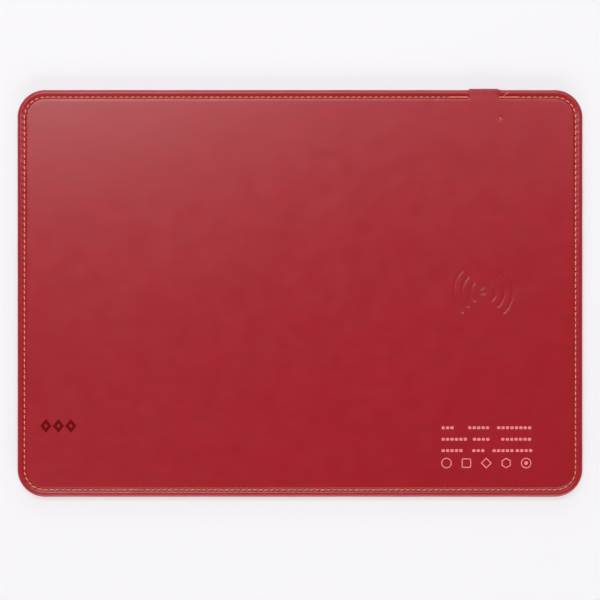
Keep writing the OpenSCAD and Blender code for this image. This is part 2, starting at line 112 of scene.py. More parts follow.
class PadSizes(bpy.types.PropertyGroup):
    """Sizes of the cover, the seam and the print, in millimetres."""
    corner_r: length_prop("Corner Radius", "Radius of the pad's corners", 14.7)
    leather_t: length_prop("Leather Thickness", "Thickness of the leather", 0.8)
    turn_in: length_prop("Turn-in", "Width of leather turned under the core board", 12.0)
    seam_inset: length_prop("Seam Inset", "Distance of the seam from the pad's outline", 4.0)
    stitch_pitch: length_prop("Stitch Pitch", "Length of one stitch with its gap", 3.0)
    stitch_l: length_prop("Stitch Length", "Length of a stitch between its two needle holes", 1.85)
    seam_gap: length_prop("Seam Gap", "Length of seam left open over the inlet", 13.6)
    thread_r: length_prop("Ply Radius", "Radius of one of the thread's two plies", 0.19)
    groove_half: length_prop("Groove Half Width", "Half width of the groove's flat floor", 0.45)
    bead_r: length_prop("Bead Radius", "Radius of the rounded rim", 1.9)
    under_r: length_prop("Under Radius", "Radius of the rim's lower edge", 1.2)
    needle_depth: length_prop("Needle Pull", "How deep a needle hole pulls the leather down", 0.42)
    mark_r: length_prop("Mark Radius", "Radius of the innermost pair of arcs", 6.6)
    mark_step: length_prop("Mark Step", "Distance from one arc to the next", 4.5)
    mark_w: length_prop("Mark Width", "Width of an arc's groove at half its depth", 1.45)
    mark_depth: length_prop("Mark Depth", "Depth of an arc's groove", 0.25)
    wave: length_prop("Wave", "Height of the leather's gentle unevenness", 0.05)
    dash_w: length_prop("Dash Width", "Width of one printed dash", 1.7)
    dash_h: length_prop("Dash Height", "Height of one printed dash", 1.5)
    dash_pitch: length_prop("Dash Pitch", "Distance from one printed dash to the next", 2.35)
    ink_t: length_prop("Ink Thickness", "How far the ink stands on the leather", 0.03)
    mark_half_angle: bpy.props.FloatProperty(
        name="Mark Half Angle", description="Half of the angle that each arc spans",
        subtype="ANGLE", default=math.radians(44))
    stitch_slant: bpy.props.FloatProperty(
        name="Stitch Slant", description="Angle of a stitch to the seam",
        subtype="ANGLE", default=math.radians(7))
    seed: bpy.props.IntProperty(
        name="Seed", description="Seed of the stitches' small irregularities", default=7)


class PadColours(bpy.types.PropertyGroup):
    """Colours of what shows from outside."""
    leather: colour_prop("Leather", "Colour of the leather", 154, 20, 32)
    # painted shade: the colour that the groove, the needle holes and the pressed mark's grooves are
    # darkened towards
    leather_painted_shade: colour_prop("Leather Deep", "Colour in the seam's groove and needle holes", 142, 14, 22)
    thread: colour_prop("Thread", "Colour of the sewing thread", 244, 136, 96)
    print_ink: colour_prop("Print", "Colour of the printed rows", 226, 128, 134)
    stamp_ink: colour_prop("Stamp", "Colour of the stamped lozenges", 98, 2, 6)
    cloth: colour_prop("Non-slip Cloth", "Colour of the sheet underneath", 46, 45, 48)


class PadStudio(bpy.types.PropertyGroup):
    """Camera and lights."""
    lens: bpy.props.FloatProperty(
        name="Lens", description="Focal length in millimetres", default=100, unit="CAMERA")
    camera_height: bpy.props.FloatProperty(
        name="Camera Height", description="Height of the camera over the floor",
        default=0.8888, unit="LENGTH")
    camera_y: bpy.props.FloatProperty(
        name="Camera Place", description="Place of the camera along the pad's depth",
        default=-0.0035, unit="LENGTH")
    key_power: bpy.props.FloatProperty(
        name="Key Power", description="Power of the small softbox over the left of the inlet edge",
        default=7.8, unit="POWER")
    right_power: bpy.props.FloatProperty(
        name="Right Power", description="Power of the small softbox over the right of the inlet edge",
        default=1.7, unit="POWER")
    near_power: bpy.props.FloatProperty(
        name="Near Power", description="Power of the small softbox over the front left corner",
        default=0.8, unit="POWER")
    front_power: bpy.props.FloatProperty(
        name="Front Power", description="Power of the wide softbox in front of the pad",
        default=21.8, unit="POWER")
    back_power: bpy.props.FloatProperty(
        name="Back Power", description="Power of the wide softbox behind the pad",
        default=10.4, unit="POWER")
    world_strength: bpy.props.FloatProperty(
        name="Surround", description="Brightness of the dim surround", default=0.04)


def sizes():
    """The scene's pad sizes."""
    return bpy.context.scene.pad_sizes


def colours():
    """The scene's pad colours."""
    return bpy.context.scene.pad_colours


# ------------------------------------------------------------------ path round the rim

def rim_point(distance, inset):
    """Anchor and outward direction at a distance along the outline pulled in by `inset`.

    The way goes clockwise from the left end of the inlet edge. What lies d inside the outline
    is at anchor + outward * (corner_r - d).
    """
    corner_r = sizes().corner_r
    arc = math.pi / 2 * (corner_r - inset)
    for quarter in range(4):
        across, along = (HALF_D, HALF_W) if quarter % 2 == 0 else (HALF_W, HALF_D)
        run = 2 * (along - corner_r)
        if distance < run + arc or quarter == 3:
            break
        distance -= run + arc
    turn = max(0.0, distance - run) / (corner_r - inset)
    anchor = Vector((min(distance, run) - run / 2, across - corner_r))
    outward = Vector((math.sin(turn), math.cos(turn)))
    spin = Matrix.Rotation(-math.pi / 2 * quarter, 2)
    return spin @ anchor, spin @ outward


def seam_length():
    """Length of the way round along the seam."""
    inner_r = sizes().corner_r - sizes().seam_inset
    straight = 4 * (HALF_W + HALF_D - 2 * sizes().corner_r)
    return straight + 2 * math.pi * inner_r


def stitch_step():
    """Length of one stitch, as a whole number of them goes round."""
    return seam_length() / round(seam_length() / sizes().stitch_pitch)


def distance_at(x):
    """Distance along the seam to a place on the inlet edge."""
    return x + HALF_W - sizes().corner_r


def inset_of(x, y):
    """How far a point lies inside the pad's outline."""
    corner_r = sizes().corner_r
    over_x = abs(x) - HALF_W + corner_r
    over_y = abs(y) - HALF_D + corner_r
    if over_x > 0 and over_y > 0:
        return corner_r - math.hypot(over_x, over_y)
    return corner_r - max(over_x, over_y)


def ease(value):
    """Smooth step from 0 to 1."""
    value = min(1.0, max(0.0, value))
    return value * value * (3 - 2 * value)


def hump(value, width):
    """Bell curve, 1 at 0."""
    return np.exp(-(value / width) ** 2)


# ------------------------------------------------------------------ height of the leather's face

WAVE_ANGLE = math.radians(34)
LIGHT_DIP = 0.12
LIGHT_DIP_R = 1.3


def wave_height(x, y):
    """Gentle unevenness of the stretched leather, with faint slanting folds."""
    along = x * math.cos(WAVE_ANGLE) + y * math.sin(WAVE_ANGLE)
    across = y * math.cos(WAVE_ANGLE) - x * math.sin(WAVE_ANGLE)
    broad = noise.noise(Vector((x / 42, y / 42, 0.3)))
    fold = noise.noise(Vector((along / 34, across / 11, 4.1)))
    small = noise.noise(Vector((x / 9, y / 9, 8.7)))
    fade = ease((inset_of(x, y) - 6) / 10)
    return sizes().wave * (0.9 * broad + 0.55 * fold + 0.16 * small) * fade


def press(distance, half_w, soft):
    """How deep, 0 to 1, a soft-edged groove is at a distance from its middle line."""
    return ease((half_w + soft - distance) / (2 * soft))


def mark_press(x, y):
    """How deep, 0 to 1, the charging mark is pressed at a point."""
    s = sizes()
    from_x, from_y = x - COIL_X, y - COIL_Y
    radius = math.hypot(from_x, from_y)
    if radius > s.mark_r + 3 * s.mark_step:
        return 0.0
    deepest = press(abs(radius - 1.55), 0.4, 0.2)
    off_axis = math.atan2(abs(from_y), abs(from_x))
    for i in range(3):
        arc_r = s.mark_r + i * s.mark_step
        if off_axis <= s.mark_half_angle:
            away = abs(radius - arc_r)
        else:
            end_x, end_y = arc_r * math.cos(s.mark_half_angle), arc_r * math.sin(s.mark_half_angle)
            away = math.hypot(abs(from_x) - end_x, abs(from_y) - end_y)
        deepest = max(deepest, press(away, s.mark_w / 2, 0.28))
    return deepest


def face_height(x, y):
    """Height of the leather's flat face at a point."""
    dip = LIGHT_DIP * float(hump(math.hypot(x - LIGHT_X, y - LIGHT_Y), LIGHT_DIP_R))
    return PAD_H - 0.05 + wave_height(x, y) - sizes().mark_depth * mark_press(x, y) - dip


# ------------------------------------------------------------------ mesh building

class Skin:
    """Points and faces of a piece as it is built up, in millimetres, with one value per point."""

    def __init__(self):
        self.points = []
        self.values = []
        self.faces = []

    def add(self, points, values=None):
        """Adds points and gives their numbers."""
        start = len(self.points)
        self.points += [tuple(p) for p in points]
        self.values += list(values) if values is not None else [0.0] * len(points)
        return list(range(start, len(self.points)))

    def band(self, inner, outer):
        """Four-sided faces between two rings of as many points."""
        for i in range(len(inner)):
            j = (i + 1) % len(inner)
            self.faces.append((inner[i], inner[j], outer[j], outer[i]))

    def strip(self, first, first_at, second, second_at):
        """Triangles between two rings whose points lie at different distances along the way."""
        i = j = 0
        while i < len(first) or j < len(second):
            next_i = first_at[i + 1] if i + 1 < len(first) else first_at[0] + first_at[-1] + 9
            next_j = second_at[j + 1] if j + 1 < len(second) else second_at[0] + second_at[-1] + 9
            a, b = first[i % len(first)], second[j % len(second)]
            if j >= len(second) or (i < len(first) and next_i <= next_j):
                self.faces.append((a, first[(i + 1) % len(first)], b))
                i += 1
            else:
                self.faces.append((a, second[(j + 1) % len(second)], b))
                j += 1

    def fill(self, ring, inside, upward=True):
        """Fills a ring with triangles through the numbered points inside it."""
        numbers = list(ring) + list(inside)
        flat = [Vector(self.points[n][:2]) for n in numbers]
        edges = [(i, (i + 1) % len(ring)) for i in range(len(ring))]
        _, _, found, origin, _, _ = geometry.delaunay_2d_cdt(flat, edges, [], 1, 1e-7)
        for face in found:
            a, b, c = (numbers[origin[n][0]] for n in face)
            side_b = Vector(self.points[b][:2]) - Vector(self.points[a][:2])
            side_c = Vector(self.points[c][:2]) - Vector(self.points[a][:2])
            is_up = side_b.cross(side_c) > 0
            self.faces.append((a, b, c) if is_up == upward else (a, c, b))

    def tube(self, line, radius, sides=6):
        """Round tube with closed ends along a line of points."""
        rings = []
        for i, point in enumerate(line):
            ahead = Vector(line[min(i + 1, len(line) - 1)]) - Vector(line[max(i - 1, 0)])
            turn = ahead.to_track_quat("X", "Z")
            rings.append(self.add([
                Vector(point) + turn @ Vector((0, radius * math.cos(a), radius * math.sin(a)))
                for a in (2 * math.pi * k / sides for k in range(sides))]))
        for here, ahead in zip(rings, rings[1:]):
            self.band(here, ahead)
        self.faces.append(tuple(rings[0]))
        self.faces.append(tuple(reversed(rings[-1])))

    def plate(self, outer, inner, height_at, thickness):
        """Thin plate lying on a surface: an outline, with a hole in it if `inner` has points."""
        top_outer = self.add([(x, y, height_at(x, y) + thickness) for x, y in outer])
        low_outer = self.add([(x, y, height_at(x, y) - thickness) for x, y in outer])
        self.band(low_outer, top_outer)
        if not inner:
            self.fill(top_outer, [], True)
            self.fill(low_outer, [], False)
            return
        top_inner = self.add([(x, y, height_at(x, y) + thickness) for x, y in inner])
        low_inner = self.add([(x, y, height_at(x, y) - thickness) for x, y in inner])
        self.band(top_outer, top_inner)
        self.band(top_inner, low_inner)
        self.band(low_inner, low_outer)

    def build(self, name, value_name=None):
        """Makes the object, in metres."""
        mesh = bpy.data.meshes.new(name)
        mesh.from_pydata([tuple(c * MM for c in p) for p in self.points], [], self.faces)
        if value_name:
            values = mesh.attributes.new(value_name, "FLOAT", "POINT")
            values.data.foreach_set("value", np.array(self.values, np.float32))
        mesh.validate()
        made = bpy.data.objects.new(name, mesh)
        bpy.context.scene.collection.objects.link(made)
        return made


def smooth(piece, angle=40):
    """Shades a piece smooth, with edges kept where it turns by more than an angle."""
    piece.data.polygons.foreach_set("use_smooth", [True] * len(piece.data.polygons))
    piece.data.set_sharp_from_angle(angle=math.radians(angle))
    piece.data.update()


def cut_with(piece, cutter):
    """Cuts one closed piece out of another and removes the cutter."""
    modifier = piece.modifiers.new("Cut", "BOOLEAN")
    modifier.operation = "DIFFERENCE"
    modifier.solver = "MANIFOLD"
    modifier.object = cutter
    become_evaluated(piece)
    bpy.data.objects.remove(cutter)


def become_evaluated(piece):
    """Gives a piece the mesh that its modifiers make, and removes the modifiers."""
    bpy.context.view_layer.update()
    evaluated = piece.evaluated_get(bpy.context.evaluated_depsgraph_get())
    made = bpy.data.meshes.new_from_object(evaluated)
    if len(made.polygons) == 0:
        raise RuntimeError(f"{piece.name} came out empty")
    piece.modifiers.clear()
    piece.data = made


def block(name, low, high):
    """Closed block between two corners, in millimetres."""
    skin = Skin()
    loop = [(low[0], low[1]), (high[0], low[1]), (high[0], high[1]), (low[0], high[1])]
    bottom = skin.add([(x, y, low[2]) for x, y in loop])
    top = skin.add([(x, y, high[2]) for x, y in loop])
    skin.band(bottom, top)
    skin.faces.append(tuple(reversed(bottom)))
    skin.faces.append(tuple(top))
    return skin.build(name)


def pin(name, x, y, z_low, z_high, radius, sides=32):
    """Closed upright cylinder, in millimetres."""
    skin = Skin()
    loop = ring_of(x, y, radius, sides)
    bottom = skin.add([(a, b, z_low) for a, b in loop])
    top = skin.add([(a, b, z_high) for a, b in loop])
    skin.band(bottom, top)
    skin.faces.append(tuple(reversed(bottom)))
    skin.faces.append(tuple(top))
    return skin.build(name)


def ring_of(x, y, radius, sides, start=0.0):
    """Points round a circle, anticlockwise."""
    angles = [start + 2 * math.pi * k / sides for k in range(sides)]
    return [(x + radius * math.cos(a), y + radius * math.sin(a)) for a in angles]


def finish_piece(piece, slot, *replaced):
    """Puts a new piece on its body and hides the CAD nodes it stands for; the slot is not used."""
    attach(piece, BODY)
    if replaced:
        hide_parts(*replaced)


# ------------------------------------------------------------------ finishes

class Finish:
    """A material being built: its shader and short calls for the nodes round it."""

    def __init__(self, name, roughness, metallic=0.0, coat=0.0, **sockets):
        self.material = bpy.data.materials.new(name)
        self.material.use_nodes = True
        self.tree = self.material.node_tree
        self.shader = self.tree.nodes["Principled BSDF"]
        self.shader.inputs["Roughness"].default_value = roughness
        self.shader.inputs["Metallic"].default_value = metallic
        self.shader.inputs["Coat Weight"].default_value = coat
        by_name = {socket.name.lower().replace(" ", "_"): socket for socket in self.shader.inputs}
        for name, value in sockets.items():
            by_name[name].default_value = value
        self.place = self.node("ShaderNodeTexCoord").outputs["Object"]

    def node(self, kind, **settings):
        """Adds a shader node and sets its properties."""
        made = self.tree.nodes.new(kind)
        for key, value in settings.items():
            setattr(made, key, value)
        return made

    def link(self, source, target):
        """Joins two sockets."""
        self.tree.links.new(source, target)

    def stretched(self, factors, turn=0.0):
        """Object coordinates scaled by factors and turned about Z."""
        mapping = self.node("ShaderNodeMapping")
        mapping.inputs["Scale"].default_value = factors
        mapping.inputs["Rotation"].default_value = (0, 0, turn)
        self.link(self.place, mapping.inputs["Vector"])
        return mapping.outputs["Vector"]

    def noise(self, size, detail=3.0, roughness=0.55, place=None, seed=0.0):
        """Noise whose patches are about `size` millimetres across, 0 to 1."""
        made = self.node("ShaderNodeTexNoise", noise_dimensions="4D")
        made.inputs["W"].default_value = seed
        made.inputs["Scale"].default_value = 1 / (size * MM)
        made.inputs["Detail"].default_value = detail
        made.inputs["Roughness"].default_value = roughness
        self.link(place or self.place, made.inputs["Vector"])
        return made.outputs["Fac"]

    def warped(self, amount, size):
        """Object coordinates pushed about by up to `amount` millimetres of noise."""
        made = self.node("ShaderNodeTexNoise")
        made.inputs["Scale"].default_value = 1 / (size * MM)
        self.link(self.place, made.inputs["Vector"])
        push = self.node("ShaderNodeVectorMath", operation="SCALE")
        push.inputs["Scale"].default_value = amount * MM
        self.link(made.outputs["Color"], push.inputs[0])
        total = self.node("ShaderNodeVectorMath", operation="ADD")
        self.link(self.place, total.inputs[0])
        self.link(push.outputs[0], total.inputs[1])
        return total.outputs[0]

    def cells(self, size, feature="F1", place=None, spread=1.0):
        """Distance from the middles, or from the edges, of cells about `size` millimetres across."""
        made = self.node("ShaderNodeTexVoronoi", feature=feature)
        made.inputs["Scale"].default_value = 1 / (size * MM)
        made.inputs["Randomness"].default_value = spread
        self.link(place or self.place, made.inputs["Vector"])
        return made.outputs["Distance"]

    def threads(self, pitch, direction="X", shape="SIN", place=None):
        """Even bands of a pitch in millimetres, such as threads."""
        made = self.node("ShaderNodeTexWave", wave_type="BANDS", bands_direction=direction,
                         wave_profile=shape)
        made.inputs["Scale"].default_value = 0.314159 / (pitch * MM)
        made.inputs["Distortion"].default_value = 0.0
        self.link(place or self.place, made.inputs["Vector"])
        return made.outputs["Fac"]

    def ranged(self, value, low, high, from_low=0.0, from_high=1.0):
        """A value moved from one range to another."""
        made = self.node("ShaderNodeMapRange")
        made.inputs["From Min"].default_value = from_low
        made.inputs["From Max"].default_value = from_high
        made.inputs["To Min"].default_value = low
        made.inputs["To Max"].default_value = high
        self.link(value, made.inputs["Value"])
        return made.outputs["Result"]

    def maths(self, operation, first, second):
        """Two values, or a value and a number, put through a Math node."""
        made = self.node("ShaderNodeMath", operation=operation)
        for socket, value in zip(made.inputs, (first, second)):
            if isinstance(value, (int, float)):
                socket.default_value = value
            else:
                self.link(value, socket)
        return made.outputs["Value"]

    def mixed(self, factor, first, second):
        """Colour between two colours or colour outputs."""
        made = self.node("ShaderNodeMix", data_type="RGBA")
        self.link(factor, made.inputs["Factor"])
        for socket, value in ((made.inputs[6], first), (made.inputs[7], second)):
            if isinstance(value, tuple):
                socket.default_value = (*value, 1.0)
            else:
                self.link(value, socket)
        return made.outputs[2]

    def attribute(self, name):
        """A value kept on the piece's points."""
        return self.node("ShaderNodeAttribute", attribute_name=name).outputs["Fac"]

    def colour(self, source):
        """Links a colour to the surface."""
        self.link(source, self.shader.inputs["Base Color"])
        return self

    def rough(self, source):
        """Links a value to the roughness."""
        self.link(source, self.shader.inputs["Roughness"])
        return self

    def bump(self, height, depth, strength=1.0):
        """Bumps of a depth in millimetres."""
        made = self.node("ShaderNodeBump")
        made.inputs["Distance"].default_value = depth * MM
        made.inputs["Strength"].default_value = strength
        self.link(height, made.inputs["Height"])
        self.link(made.outputs["Normal"], self.shader.inputs["Normal"])
        return self


def between(colour, factor):
    """A colour made darker or lighter."""
    return tuple(min(1.0, part * factor) for part in colour)


def mottled_finish(name, colour, size, roughness, spread=0.12, depth=0.01, **sockets):
    """A plain moulded, sintered or cast surface: faint cloudiness, uneven gloss and fine texture."""
    made = Finish(name, roughness, **sockets)
    clouds = made.noise(size, 4)
    made.colour(made.mixed(clouds, between(colour, 1 - spread), between(colour, 1 + spread)))
    made.rough(made.ranged(made.noise(size * 0.4, 3, seed=2.0), roughness - 0.07, roughness + 0.07,
                           0.3, 0.7))
    made.bump(made.noise(size * 0.12, 2, seed=5.0), depth, 0.6)
    return made.material


def red_leather():
    """Smooth coated leather: fine grain, faint slanting folds, and painted shade in the seam's groove, the
    needle holes and the pressed mark's grooves.
    """
    deep = tuple(colours().leather_painted_shade)
    colour = tuple(colours().leather)
    made = Finish("red_leather", 0.33, specular_ior_level=0.5)
    folds = made.noise(7, 4, place=made.stretched((0.42, 1.35, 1.0), WAVE_ANGLE))
    cloud = made.noise(22, 3, seed=3.0)
    patch = made.maths("MULTIPLY", made.ranged(folds, 0.0, 1.0, 0.34, 0.66),
                       made.ranged(cloud, 0.5, 1.0, 0.3, 0.7))
    face = made.mixed(patch, between(colour, 0.94), between(colour, 1.05))
    # painted shade: the face colour goes towards the shade colour where the painted recess shade attribute
    # is high
    made.colour(made.mixed(made.attribute("seam_shade"), face, deep))
    made.rough(made.ranged(made.noise(9, 2, seed=6.0), 0.30, 0.345, 0.3, 0.7))
    grain = made.cells(0.6, "DISTANCE_TO_EDGE", made.warped(0.7, 0.8))
    pebble = made.ranged(grain, 0.0, 1.0, 0.0, 0.24)
    fine = made.maths("MULTIPLY", made.noise(0.25, 2, seed=9.0), 0.5)
    slanting = made.stretched((0.6, 1.2, 1.0), WAVE_ANGLE)
    crease = made.maths("MULTIPLY", made.noise(3.2, 5, place=slanting), 1.4)
    height = made.maths("ADD", made.maths("ADD", pebble, fine), crease)
    made.bump(height, 0.03, 0.3)
    return made.material


def orange_thread():
    """Bonded polyester thread: two plies of fine fibres, slightly waxy."""
    colour = tuple(colours().thread)
    made = Finish("orange_thread", 0.55, sheen_weight=0.25)
    fibres = made.noise(0.12, 3, place=made.stretched((1.0, 1.0, 2.0)))
    patch = made.noise(1.4, 2, seed=4.0)
    tint = made.mixed(patch, between(colour, 0.84), between(colour, 1.08))
    made.colour(made.mixed(made.ranged(fibres, 0.0, 0.35, 0.4, 0.6), tint, between(colour, 0.6)))
    made.bump(fibres, 0.03, 0.7)
    return made.material


def ink_finish(name, colour, roughness, shine=0.5):
    """Screen-printed ink, with the leather's grain showing through it."""
    made = Finish(name, roughness, specular_ior_level=shine)
    grain = made.cells(0.55, "DISTANCE_TO_EDGE")
    thin = made.ranged(made.noise(0.8, 4), 0.0, 0.25, 0.45, 0.75)
    made.colour(made.mixed(thin, colour, tuple(colours().leather)))
    made.bump(made.ranged(grain, 0.0, 1.0, 0.0, 0.16), 0.02, 0.5)
    return made.material


def nonslip_cloth():
    """Brushed microfibre: a short dense nap with lighter fibres and soft nap marks."""
    colour = tuple(colours().cloth)
    made = Finish("nonslip_cloth", 0.94, sheen_weight=0.35, sheen_roughness=0.4)
    nap = made.noise(0.35, 5, 0.7)
    strokes = made.noise(9, 3, place=made.stretched((0.5, 1.4, 1.0), 0.5), seed=2.0)
    shade = made.mixed(strokes, between(colour, 0.7), between(colour, 1.35))
    made.colour(made.mixed(made.ranged(nap, 0.0, 1.0, 0.45, 0.72), shade, between(colour, 2.3)))
    made.bump(nap, 0.12, 0.8)
    return made.material


def core_board_finish():
    """Grey-brown laminated board: paper fibres and flecks."""
    colour = linear(158, 134, 104)
    made = Finish("core_board", 0.9)
    fibres = made.noise(0.9, 5, 0.7, place=made.stretched((0.35, 1.6, 1.0)))
    flecks = made.ranged(made.cells(2.4), 1.0, 0.0, 0.05, 0.14)
    paper = made.mixed(fibres, between(colour, 0.8), between(colour, 1.15))
    made.colour(made.mixed(flecks, paper, between(colour, 0.42)))
    made.bump(fibres, 0.04, 0.6)
    return made.material


def foam_finish():
    """Fine open-cell foam."""
    colour = linear(196, 194, 188)
    made = Finish("foam", 0.95)
    pores = made.cells(0.45)
    made.colour(made.mixed(pores, between(colour, 0.55), colour))
    made.bump(pores, 0.12, 0.9)
    return made.material


def case_plastic():
    """Moulded ABS with a fine spark-eroded texture."""
    return mottled_finish("case_plastic", linear(44, 44, 48), 6, 0.55, 0.1, 0.03)


def collar_plastic():
    """Dark grey moulded collar."""
    return mottled_finish("collar_plastic", linear(30, 28, 30), 3, 0.5, 0.1, 0.02)


def turned_metal(name, colour, roughness):
    """Zinc-plated or stamped metal with fine drawing marks."""
    made = Finish(name, roughness, metallic=1.0)
    marks = made.noise(0.3, 4, place=made.stretched((1.0, 0.08, 1.0)))
    made.colour(made.mixed(marks, between(colour, 0.82), colour))
    made.rough(made.ranged(marks, roughness - 0.08, roughness + 0.1, 0.3, 0.7))
    made.bump(marks, 0.006, 0.6)
    return made.material


def board_laminate():
    """Green solder mask over a faint copper pattern and the glass weave."""
    colour = linear(16, 92, 52)
    made = Finish("board_laminate", 0.32, coat=0.3)
    weave = made.maths("MULTIPLY", made.threads(0.7, "X"), made.threads(0.7, "Y"))
    copper = made.ranged(made.cells(4.2, "DISTANCE_TO_EDGE", spread=0.35), 1.0, 0.0, 0.09, 0.12)
    under = made.mixed(weave, between(colour, 0.82), between(colour, 1.12))
    made.colour(made.mixed(copper, under, between(colour, 1.5)))
    made.bump(made.maths("ADD", copper, made.maths("MULTIPLY", weave, 0.15)), 0.02, 0.6)
    return made.material


def litz_copper():
    """Bundle of fine enamelled strands, laid at a slant along the winding."""
    colour = linear(196, 112, 62)
    made = Finish("litz_copper", 0.32, metallic=0.9, coat=0.5)
    strands = made.threads(0.17, "DIAGONAL")
    spots = made.noise(1.2, 3)
    tint = made.mixed(spots, between(colour, 0.8), between(colour, 1.15))
    made.colour(made.mixed(strands, between(colour, 0.45), tint))
    made.bump(strands, 0.05, 0.8)
    return made.material


def capacitor_ceramic():
    """Multilayer ceramic: tan body with fine grain."""
    return mottled_finish("capacitor_ceramic", linear(176, 142, 104), 0.8, 0.5, 0.16, 0.01)


def adhesive_film():
    """Milky double-sided film with trapped air."""
    made = Finish("adhesive_film", 0.3, coat=0.4)
    bubbles = made.ranged(made.cells(1.6), 1.0, 0.0, 0.05, 0.2)
    made.colour(made.mixed(bubbles, linear(206, 200, 178), linear(236, 234, 226)))
    made.bump(bubbles, 0.02, 0.5)
    return made.material


def clear_acrylic():
    """Frosted light guide, faintly cloudy."""
    made = Finish("clear_acrylic", 0.35, specular_ior_level=0.5)
    cloud = made.noise(0.5, 3)
    made.colour(made.mixed(cloud, linear(176, 72, 72), linear(206, 104, 98)))
    made.rough(made.ranged(cloud, 0.28, 0.45, 0.3, 0.7))
    made.bump(made.noise(0.15, 2), 0.01, 0.5)
    return made.material


def gold_plate():
    """Gold flash over nickel on the contacts."""
    return turned_metal("gold_plate", linear(222, 178, 92), 0.25)


def red_wire():
    """Red insulated wire."""
    return mottled_finish("red_wire", linear(168, 34, 30), 0.7, 0.4, 0.1, 0.01)


def give_finish(material, *nodes):
    """Puts a material on CAD nodes."""
    for name in nodes:
        node = NODES[name]
        node.data.materials.clear()
        node.data.materials.append(material)


# ------------------------------------------------------------------ leather cover

BEAD_FROM = math.radians(62)
COLUMN_PHASES = (-0.16, 0.0, 0.16, 0.36, 0.64)
NEEDLE_REACH = 0.5
FIELD_INSET = 8.0
SHARP_SIDE = (INLET_X - 7.9, INLET_X - 6.9)
SOFT_SIDE = (INLET_X + 7.2, INLET_X + 10.2)
SLOT_HALF = 6.7
SLOT_DEPTH = 16.8
LIGHT_HOLE_R = 0.68


def arc(centre_d, centre_z, radius, start, end, steps):
    """Profile points round an arc; the angle is 0 towards the pad's middle and 90 degrees up."""
    return [(centre_d + radius * math.cos(a), centre_z + radius * math.sin(a))
            for a in np.linspace(start, end, steps + 1)]


def cover_profile():
    """The leather's section as (inset, height): its outer rows, then its inner ones, and the side row."""
    s = sizes()
    bead_z = PAD_H - 0.25 - s.bead_r
    under_z = RIM_UNDER + s.under_r
    low, high = s.seam_inset - s.groove_half, s.seam_inset + s.groove_half
    drop = PAD_H - Z_GROOVE
    shoulder = [(high + reach, PAD_H - 0.05 - drop * share) for reach, share in (
        (1.9, 0.0), (1.0, 0.02), (0.62, 0.1), (0.38, 0.32), (0.2, 0.68), (0.08, 0.9))]
    floor = [(high, Z_GROOVE), (s.seam_inset + 0.2, Z_GROOVE), (s.seam_inset, Z_GROOVE),
             (s.seam_inset - 0.2, Z_GROOVE), (low, Z_GROOVE), (low - 0.3, Z_GROOVE + 0.04)]
    bead = arc(s.bead_r, bead_z, s.bead_r, BEAD_FROM, math.pi, 11)
    under = arc(s.under_r, under_z, s.under_r, math.pi, 1.5 * math.pi, 5)
    tucked = [(SHEET_INSET - 0.12, RIM_UNDER), (SHEET_INSET + 0.1, SHEET_T + 0.02),
              (s.turn_in, SHEET_T + 0.02)]
    outer = [(FIELD_INSET, PAD_H - 0.05)] + shoulder + floor + bead + under + tucked
    side_row = 1 + len(shoulder) + len(floor) + len(bead) - 1
    t = s.leather_t
    inner = [(s.turn_in, SHEET_T + 0.6), (t + 0.4, SHEET_T + 0.6), (t, SHEET_T + 1.0),
             (t, Z_FOAM - 0.7), (t + 0.7, Z_FOAM), (s.bead_r + 0.3, PAD_H - 1.2),
             (low, Z_GROOVE - t), (high, Z_GROOVE - t), (s.seam_inset + 1.4, Z_LEATHER),
             (FIELD_INSET, Z_LEATHER)]
    return np.array(outer), np.array(inner), side_row


def over_inlet(outer, side_row):
    """The outer rows where the leather runs level out over the inlet and turns down past the edge."""
    edge_r = 0.7
    out = -COVER_OUT
    face = [(FIELD_INSET, PAD_H - 0.02)] + arc(out + edge_r, PAD_H - 0.02 - edge_r, edge_r,
                                              math.pi / 2, math.pi, 6)
    face = np.array(face + [(out, outer[side_row][1])])
    along_face = np.append(0, np.cumsum(np.hypot(*np.diff(face, axis=0).T)))
    top = outer[:side_row + 1]
    along_top = np.append(0, np.cumsum(np.hypot(*np.diff(top, axis=0).T)))
    share = along_top / along_top[-1] * along_face[-1]
    rows = outer.copy()
    rows[:side_row + 1, 0] = np.interp(share, along_face, face[:, 0])
    rows[:side_row + 1, 1] = np.interp(share, along_face, face[:, 1])
    near = np.clip(1 - outer[side_row:, 0] / sizes().under_r, 0, 1)
    rows[side_row:, 0] = outer[side_row:, 0] - COVER_OUT * near
    return rows


def column_distances():
    """Places of the leather's columns along the seam: five to a stitch, and five more at the sharp side."""
    step, length = stitch_step(), seam_length()
    count = round(length / step)
    even = [(i + phase) * step % length for i in range(count) for phase in COLUMN_PHASES]
    sharp = [distance_at(x) for x in np.linspace(*SHARP_SIDE, 5)]
    kept = [at for at in even if at < sharp[0] - 0.15 or at > sharp[-1] + 0.15]
    return sorted(kept + sharp)


def inlet_share(point, outward):
    """How far, 0 to 1, a column is raised over the inlet: sharp on the left, draped on the right."""
    if outward.y < 0.999 or point.y < 0:
        return 0.0
    rise = ease((point.x - SHARP_SIDE[0]) / (SHARP_SIDE[1] - SHARP_SIDE[0]))
    fall = 1 - ease((point.x - SOFT_SIDE[0]) / (SOFT_SIDE[1] - SOFT_SIDE[0]))
    return min(rise, fall)


